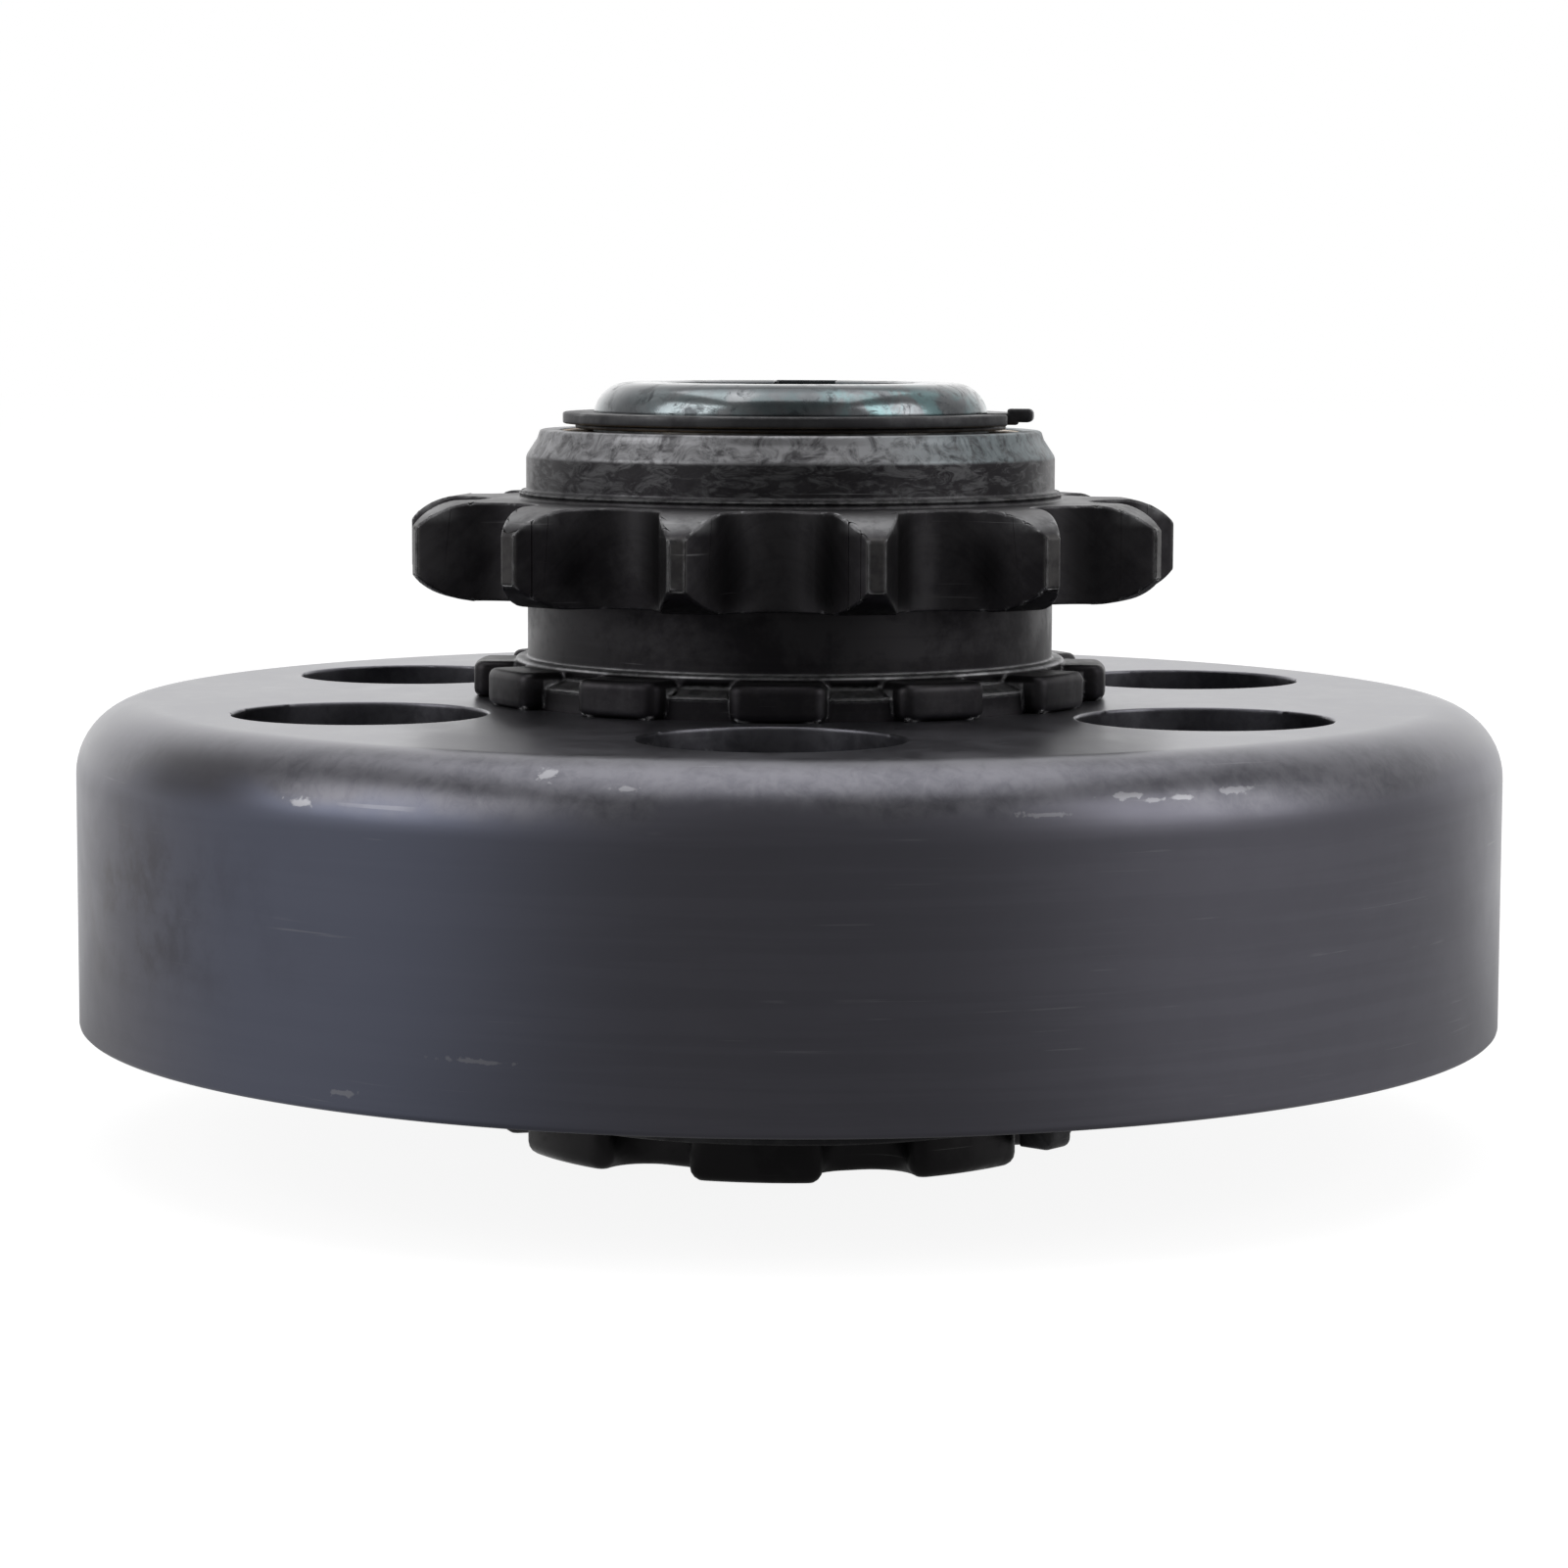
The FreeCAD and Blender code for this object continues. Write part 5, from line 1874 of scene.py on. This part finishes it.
@dataclass
class ShoeSet:
    """The eight T-shaped shoes and the linings on them."""

    count: int = SHOES
    phase: float = SHOE_PHASE
    bottom: float = 9.8 * MM
    top: float = 25.0 * MM
    stem_start: float = 17.8 * MM
    stem_width: float = 6.4 * MM
    stem_round: float = 2.45 * MM
    head_inner: float = 36.2 * MM
    face_radius: float = 47.4 * MM
    lining_radius: float = 50.4 * MM
    travel: float = 0.7 * MM
    head_opening: float = 2.5
    lining_inset: float = 0.5 * MM
    groove_inner: float = 39.5 * MM
    groove_outer: float = 43.1 * MM
    groove_depth: float = 3.4 * MM

    def half_head(self) -> float:
        """Half of a head's angle, in radians."""
        return math.radians(360.0 / self.count - self.head_opening) / 2

    def side_reach(self, radius: float) -> float:
        """Distance from the axis at which a head's side meets an arc struck one travel back.

        Args:
            radius: The arc's radius.

        Returns:
            The distance.
        """
        set_back = self.travel * math.sin(self.half_head())
        return math.sqrt(radius**2 - set_back**2) - self.travel * math.cos(self.half_head())

    def arc_points(
        self, solid: bmesh.types.BMesh, radius: float, height: float, set_back: float
    ) -> list[bmesh.types.BMVert]:
        """Points along an arc over a head's width, by spinning its first point.

        Args:
            solid: The bmesh to add to.
            radius: The arc's radius.
            height: Its height.
            set_back: How far behind the axis its centre lies.

        Returns:
            The arc's points, in order.
        """
        reach = self.side_reach(radius) if set_back else radius
        angle = self.half_head()
        x, y = reach * math.cos(angle), reach * math.sin(angle)
        known = set(solid.verts)
        first = solid.verts.new((x, -y, height))
        arc_from(solid, first, (-set_back, 0, height), 2 * math.atan2(y, x + set_back), 24)
        made = [vert for vert in solid.verts if vert not in known]
        return sorted(made, key=lambda vert: math.atan2(vert.co.y, vert.co.x))

    def arc_block(
        self, inner: float, inner_set_back: float, outer: float, bottom: float, top: float
    ) -> bmesh.types.BMesh:
        """A block between two arcs over a head's width, the outer one struck one travel back.

        Args:
            inner: Radius of the inner arc.
            inner_set_back: How far behind the axis its centre lies.
            outer: Radius of the outer arc.
            bottom: Height of its underside.
            top: Height of its top.

        Returns:
            The closed solid.
        """
        solid = bmesh.new()
        inner_arc = self.arc_points(solid, inner, bottom, inner_set_back)
        outer_arc = self.arc_points(solid, outer, bottom, self.travel)
        solid.faces.new(outer_arc + inner_arc[::-1])
        return raised_solid(solid, (0, 0, top - bottom))

    def shoe_solid(self) -> bmesh.types.BMesh:
        """One shoe along +X, with both spring grooves.

        Returns:
            The closed solid.
        """
        solid = self.arc_block(self.head_inner, 0.0, self.face_radius, self.bottom, self.top)
        half = self.stem_width / 2
        inner = Corner(self.stem_start, half, self.stem_round, 8)
        plan = mirrored_outline([Corner(self.head_inner + OVERRUN, half), inner])
        stem = swept_solid(plan_face(plan), (0, 0, self.bottom), (0, 0, self.top - self.bottom))
        solid = combine(solid, stem, Boolean.JOIN)
        for low, high in (
            (self.bottom - OVERRUN, self.bottom + self.groove_depth),
            (self.top - self.groove_depth, self.top + OVERRUN),
        ):
            tool = turned_solid(
                [
                    Corner(self.groove_inner, low),
                    Corner(self.groove_outer, low),
                    Corner(self.groove_outer, high),
                    Corner(self.groove_inner, high),
                ]
            )
            solid = combine(solid, tool, Boolean.CUT)
        return solid

    def lining_solid(self) -> bmesh.types.BMesh:
        """The closed solid of one lining along +X."""
        low, high = self.bottom + self.lining_inset, self.top - self.lining_inset
        return self.arc_block(self.face_radius, self.travel, self.lining_radius, low, high)

    def build(
        self, shoe_finish: bpy.types.Material, lining_finish: bpy.types.Material
    ) -> list[bpy.types.Object]:
        """Make every shoe and lining.

        Args:
            shoe_finish: The shoes' material.
            lining_finish: The linings' material.

        Returns:
            The objects.
        """
        made = []
        shoe, lining = self.shoe_solid(), self.lining_solid()
        for number in range(self.count):
            angle = self.phase + 360.0 / self.count * number
            body = f"shoe_{number + 1}"
            for solid, finish, name, node, slot in (
                (shoe, shoe_finish, "shoe_block", "shoe", "shoe_steel"),
                (lining, lining_finish, "lining_pad", "lining", "friction_lining"),
            ):
                placed = turn_solid(solid.copy(), angle)
                nodes = [f"{node}_{number + 1}"]
                made.append(finished_piece(f"{name}_{number + 1}", placed, finish, body, nodes))
        shoe.free()
        lining.free()
        return made


@dataclass
class GarterSprings:
    """The two garter springs, each as eight lengths of close coil that move with the shoes."""

    count: int = SHOES
    phase: float = SHOE_PHASE
    circle: float = 41.3 * MM
    coil_radius: float = 1.6 * MM
    wire_radius: float = 0.36 * MM
    turns: int = 40
    steps: int = 12
    sides: int = 6
    lower: float = 11.55 * MM
    upper: float = 23.25 * MM

    def coil(self) -> bmesh.types.BMesh:
        """One straight coil along X, bent round the springs' circle.

        Returns:
            The closed solid, centred on +X at height 0.
        """
        length = math.tau * self.circle / self.count
        solid = bmesh.new()
        made = bmesh.ops.create_circle(
            solid,
            cap_ends=False,
            segments=self.sides,
            radius=self.wire_radius,
            matrix=Matrix.Translation((0, self.coil_radius - self.wire_radius, 0)),
        )
        rise = (length - 2 * self.wire_radius) / (self.turns * self.steps)
        bmesh.ops.spin(
            solid,
            geom=made["verts"] + list({edge for vert in made["verts"] for edge in vert.link_edges}),
            cent=(0, 0, 0),
            dvec=(rise, 0, 0),
            axis=(1, 0, 0),
            angle=math.tau * self.turns,
            steps=self.turns * self.steps,
            use_merge=False,
        )
        open_edges = [edge for edge in solid.edges if edge.is_boundary]
        bmesh.ops.holes_fill(solid, edges=open_edges, sides=0)
        for vert in solid.verts:
            angle = (vert.co.x - length / 2 + self.wire_radius) / self.circle
            reach = self.circle + vert.co.y
            vert.co = Vector((reach * math.cos(angle), reach * math.sin(angle), vert.co.z))
        return tidy_solid(solid)

    def build(self, finish: bpy.types.Material) -> list[bpy.types.Object]:
        """Make every length of both springs.

        Args:
            finish: Their material.

        Returns:
            The objects.
        """
        made = []
        coil = self.coil()
        for side, height in (("lower", self.lower), ("upper", self.upper)):
            for number in range(self.count):
                solid = turn_solid(coil.copy(), self.phase + 360.0 / self.count * number)
                bmesh.ops.translate(solid, vec=(0, 0, height), verts=solid.verts[:])
                made.append(
                    finished_piece(
                        f"{side}_spring_coil_{number + 1}",
                        solid,
                        finish,
                        f"shoe_{number + 1}",
                        [f"{side}_garter_spring"],
                        None,
                    )
                )
        coil.free()
        return made


@dataclass
class PlainRing:
    """A turned ring with broken edges: a bushing or a thrust washer."""

    name: str
    node: str
    slot: str
    body: Body
    inner: float
    outer: float
    bottom: float
    top: float
    edge: float = 0.1 * MM

    def build(self, finish: bpy.types.Material) -> bpy.types.Object:
        """Make the ring.

        Args:
            finish: Its material.

        Returns:
            The object.
        """
        corners = [
            Corner(self.inner, self.bottom, self.edge, 2),
            Corner(self.outer, self.bottom, self.edge, 2),
            Corner(self.outer, self.top, self.edge, 2),
            Corner(self.inner, self.top, self.edge, 2),
        ]
        solid = turned_solid(corners)
        return finished_piece(self.name, solid, finish, self.body.value, [self.node], None)


@dataclass
class SnapRing:
    """An open snap ring with one end bent outwards into a tang."""

    name: str
    node: str
    inner: float
    outer: float
    bottom: float
    top: float
    opening: float
    phase: float
    tang_reach: float
    tang_width: float
    tang_bottom: float
    tang_top: float
    tang_round: float
    tang_root: float = 0.8 * MM
    edge: float = 0.15 * MM

    def build(self, finish: bpy.types.Material) -> bpy.types.Object:
        """Make the ring and its tang.

        Args:
            finish: Its material.

        Returns:
            The object.
        """
        edge = self.edge
        ring = turned_solid(
            [
                Corner(self.inner, self.bottom, edge, 2),
                Corner(self.outer, self.bottom, edge, 2),
                Corner(self.outer, self.top, edge, 2),
                Corner(self.inner, self.top, edge, 2),
            ],
            sweep=math.radians(360.0 - self.opening),
        )
        start = self.outer - self.tang_root
        face = outline_face(
            [
                Corner(start, self.tang_bottom, edge, 2),
                Corner(self.tang_reach, self.tang_bottom, self.tang_round, 6),
                Corner(self.tang_reach, self.tang_top, self.tang_round, 6),
                Corner(start, self.tang_top, edge, 2),
            ]
        )
        tang = swept_solid(face, (0, 0, 0), (0, self.tang_width, 0), edge)
        solid = turn_solid(combine(ring, tang, Boolean.JOIN), self.phase)
        return finished_piece(self.name, solid, finish, Body.HUB.value, [self.node], None)


@dataclass
class RetainerDish:
    """The dished plate that holds the shoes in from below."""

    seat: float
    inner: float = 21.95 * MM
    outer: float = 38.5 * MM
    raised: float = 8.0 * MM
    sheet: float = 1.5 * MM
    dish_start: float = 26.5 * MM
    dish_end: float = 31.0 * MM
    edge: float = 0.2 * MM
    bend: float = 0.8 * MM

    def build(self, finish: bpy.types.Material) -> bpy.types.Object:
        """Make the plate.

        Args:
            finish: Its material.

        Returns:
            The object.
        """
        edge, bend, back = self.edge, self.bend, self.sheet / 2
        corners = [
            Corner(self.inner, self.seat, edge, 2),
            Corner(self.dish_start, self.seat, bend, 4),
            Corner(self.dish_end, self.raised, bend, 4),
            Corner(self.outer, self.raised, edge, 2),
            Corner(self.outer, self.raised + self.sheet, edge, 2),
            Corner(self.dish_end - back, self.raised + self.sheet, bend, 4),
            Corner(self.dish_start - back, self.seat + self.sheet, bend, 4),
            Corner(self.inner, self.seat + self.sheet, edge, 2),
        ]
        solid = turned_solid(corners, FINE_STEPS)
        body = Body.HUB.value
        return finished_piece("retainer_dish", solid, finish, body, ["retainer_plate"], None)


@dataclass(frozen=True)
class Lamp:
    """A square area lamp that points at the clutch.

    Args:
        name: Its name.
        place: Where it is.
        side: The length of its sides.
        watts: Its power.
    """

    name: str
    place: tuple[float, float, float]
    side: float
    watts: float


@dataclass
class Studio:
    """The camera, the floor, the lamps and the surroundings."""

    image_side: int = 1601
    focal_pixels: float = 4523.06
    distance: float = 336.547 * MM
    pitch_down: float = 6.017
    roll: float = 0.207
    aim_height: float = 26.695 * MM
    aim_across: float = -0.401 * MM
    sensor: float = 36.0
    floor_side: float = 6.0
    floor_white: float = 0.9
    floor_matt: Colour = (0.8, 0.8, 0.8)
    floor_matt_seen: Colour = (0.2, 0.2, 0.2)
    soft_light: float = 0.5
    clip_start: float = 10.0 * MM
    clip_end: float = 20.0
    lamps: tuple[Lamp, ...] = (
        Lamp("top_lamp", (0.0, 0.1, 0.9), 0.9, 3.0),
        Lamp("left_lamp", (-0.8, -0.3, 0.5), 0.6, 2.2),
        Lamp("right_lamp", (0.8, -0.3, 0.5), 0.6, 2.2),
    )

    def camera(self) -> bpy.types.Object:
        """The camera at the photograph's angle.

        Returns:
            The camera object, set as the scene's camera.
        """
        data = bpy.data.cameras.new("front_camera")
        data.sensor_width = self.sensor
        data.lens = self.sensor * self.focal_pixels / self.image_side
        data.clip_start = self.clip_start
        data.clip_end = self.clip_end
        camera = linked_object("front_camera", data)
        pitch, roll = math.radians(self.pitch_down), math.radians(self.roll)
        ahead = Vector((0, math.cos(pitch), -math.sin(pitch)))
        across = Vector((1, 0, 0))
        upward = across.cross(ahead)
        right = across * math.cos(roll) + upward * math.sin(roll)
        above = upward * math.cos(roll) - across * math.sin(roll)
        turn = Matrix((right, above, -ahead)).transposed()
        place = Vector((self.aim_across, 0, self.aim_height)) - ahead * self.distance
        camera.matrix_world = Matrix.Translation(place) @ turn.to_4x4()
        bpy.context.scene.camera = camera
        return camera

    def floor(self, brightness: bpy.types.NodeTree) -> bpy.types.Object:
        """A pale floor that keeps the object's shadow and isn't seen from below.

        Args:
            brightness: The group that gives what the metal mirrors.

        Returns:
            The floor object.
        """
        square = bmesh.new()
        bmesh.ops.create_grid(square, x_segments=1, y_segments=1, size=self.floor_side / 2)
        mesh = mesh_from("floor", square)
        floor = linked_object("floor", mesh)
        material, sheet = new_material("pale_floor")
        mesh.materials.append(material)
        rays = sheet.node("ShaderNodeLightPath").outputs
        seen = self.seen_directly(sheet, rays)
        where = sheet.node("ShaderNodeTexCoord").outputs["Object"]
        matt = sheet.node("ShaderNodeBsdfDiffuse")
        sheet.feed(matt.inputs["Color"], sheet.blend(seen, self.floor_matt, self.floor_matt_seen))
        mirrored = sheet.math("MULTIPLY", rays["Is Glossy Ray"], sheet.group(brightness, Vector=where)[0])
        glow = sheet.node("ShaderNodeEmission")
        white = sheet.math("MULTIPLY", seen, self.floor_white)
        sheet.feed(glow.inputs["Strength"], sheet.math("ADD", white, mirrored))
        both = sheet.node("ShaderNodeAddShader")
        sheet.feed(both.inputs[0], matt.outputs[0])
        sheet.feed(both.inputs[1], glow.outputs[0])
        from_above = sheet.choose_shader(rays["Is Glossy Ray"], both.outputs[0], glow.outputs[0])
        clear = sheet.node("ShaderNodeBsdfTransparent").outputs[0]
        from_below = sheet.node("ShaderNodeNewGeometry").outputs["Backfacing"]
        sheet.finish(sheet.choose_shader(from_below, from_above, clear))
        return floor

    def light(self, lamp: Lamp) -> bpy.types.Object:
        """Hang a lamp.

        Args:
            lamp: What it is like.

        Returns:
            The lamp object.
        """
        data = bpy.data.lights.new(lamp.name, "AREA")
        data.shape = "SQUARE"
        data.size = lamp.side
        data.energy = lamp.watts
        hung = linked_object(lamp.name, data)
        hung.location = lamp.place
        aim = Vector((0, 0, self.aim_height)) - Vector(lamp.place)
        hung.rotation_euler = aim.to_track_quat("-Z", "Y").to_euler()
        return hung

    @staticmethod
    def seen_directly(sheet: ShaderSheet, rays: bpy.types.NodeOutputs) -> bpy.types.NodeSocket:
        """A value of 1 for rays from the camera, straight or through glass."""
        return sheet.math("MAXIMUM", rays["Is Camera Ray"], rays["Is Transmission Ray"])

    def surroundings(self, brightness: bpy.types.NodeTree) -> None:
        """White surroundings, darker towards the front for what the metal mirrors.

        Args:
            brightness: The group that gives what the metal mirrors.
        """
        world = bpy.data.worlds.new("studio")
        bpy.context.scene.world = world
        world.use_nodes = True
        world.node_tree.nodes.clear()
        sheet = ShaderSheet(world.node_tree)
        rays = sheet.node("ShaderNodeLightPath").outputs
        direction = sheet.node("ShaderNodeTexCoord").outputs["Generated"]
        mirrored = sheet.group(brightness, Vector=direction)[0]
        strength = sheet.choose(rays["Is Glossy Ray"], self.soft_light, mirrored)
        sky = sheet.node("ShaderNodeBackground")
        sky.inputs["Color"].default_value = (1.0, 1.0, 1.0, 1.0)
        sheet.feed(sky.inputs["Strength"], sheet.choose(self.seen_directly(sheet, rays), strength, 1.0))
        sheet.finish(sky.outputs[0], "ShaderNodeOutputWorld")

    def build(self, brightness: bpy.types.NodeTree) -> None:
        """Set up the whole studio.

        Args:
            brightness: The group that gives what the metal mirrors.
        """
        self.camera()
        self.floor(brightness)
        for lamp in self.lamps:
            self.light(lamp)
        self.surroundings(brightness)
        bpy.context.scene.view_settings.view_transform = "Standard"


def main() -> None:
    """Build the clutch and the studio."""
    logging.basicConfig(level=logging.INFO, format="%(message)s")
    finishes = Finishes()
    Studio().build(finishes.studio)
    hub, sprocket = HubBody(), SprocketSleeve()
    hub.build(finishes.hub)
    ShoeSet().build(finishes.shoe, finishes.lining)
    GarterSprings().build(finishes.wire)
    RetainerDish(seat=hub.foot_groove_top).build(finishes.plate)
    SnapRing(
        name="lower_ring",
        node="lower_snap_ring",
        inner=20.15 * MM,
        outer=22.9 * MM,
        bottom=hub.foot_groove_bottom,
        top=hub.foot_groove_top,
        opening=14.0,
        phase=50.0,
        tang_reach=25.2 * MM,
        tang_width=2.2 * MM,
        tang_bottom=1.5 * MM,
        tang_top=3.6 * MM,
        tang_round=0.8 * MM,
    ).build(finishes.ring)
    SnapRing(
        name="upper_ring",
        node="upper_snap_ring",
        inner=13.7 * MM,
        outer=17.15 * MM,
        bottom=hub.ring_bottom,
        top=hub.ring_top,
        opening=13.0,
        phase=82.0,
        tang_reach=18.25 * MM,
        tang_width=1.6 * MM,
        tang_bottom=54.2 * MM,
        tang_top=55.2 * MM,
        tang_round=0.4 * MM,
    ).build(finishes.ring)
    PlainRing(
        name="lower_washer",
        node="lower_thrust_washer",
        slot="ring_steel",
        body=Body.HUB,
        inner=14.95 * MM,
        outer=22.0 * MM,
        bottom=hub.flange_top,
        top=28.4 * MM,
    ).build(finishes.plate)
    PlainRing(
        name="upper_washer",
        node="upper_thrust_washer",
        slot="ring_steel",
        body=Body.HUB,
        inner=14.95 * MM,
        outer=16.2 * MM,
        bottom=53.65 * MM,
        top=hub.ring_bottom,
    ).build(finishes.ring)
    PlainRing(
        name="bushing_sleeve",
        node="bronze_bushing",
        slot="bushing_bronze",
        body=Body.DRUM,
        inner=14.9 * MM,
        outer=sprocket.bore,
        bottom=sprocket.collar_bottom,
        top=53.45 * MM,
    ).build(finishes.bronze)
    DrumShell().build(finishes.drum)
    sprocket.build(finishes.sprocket)


if __name__ == "__main__":
    main()
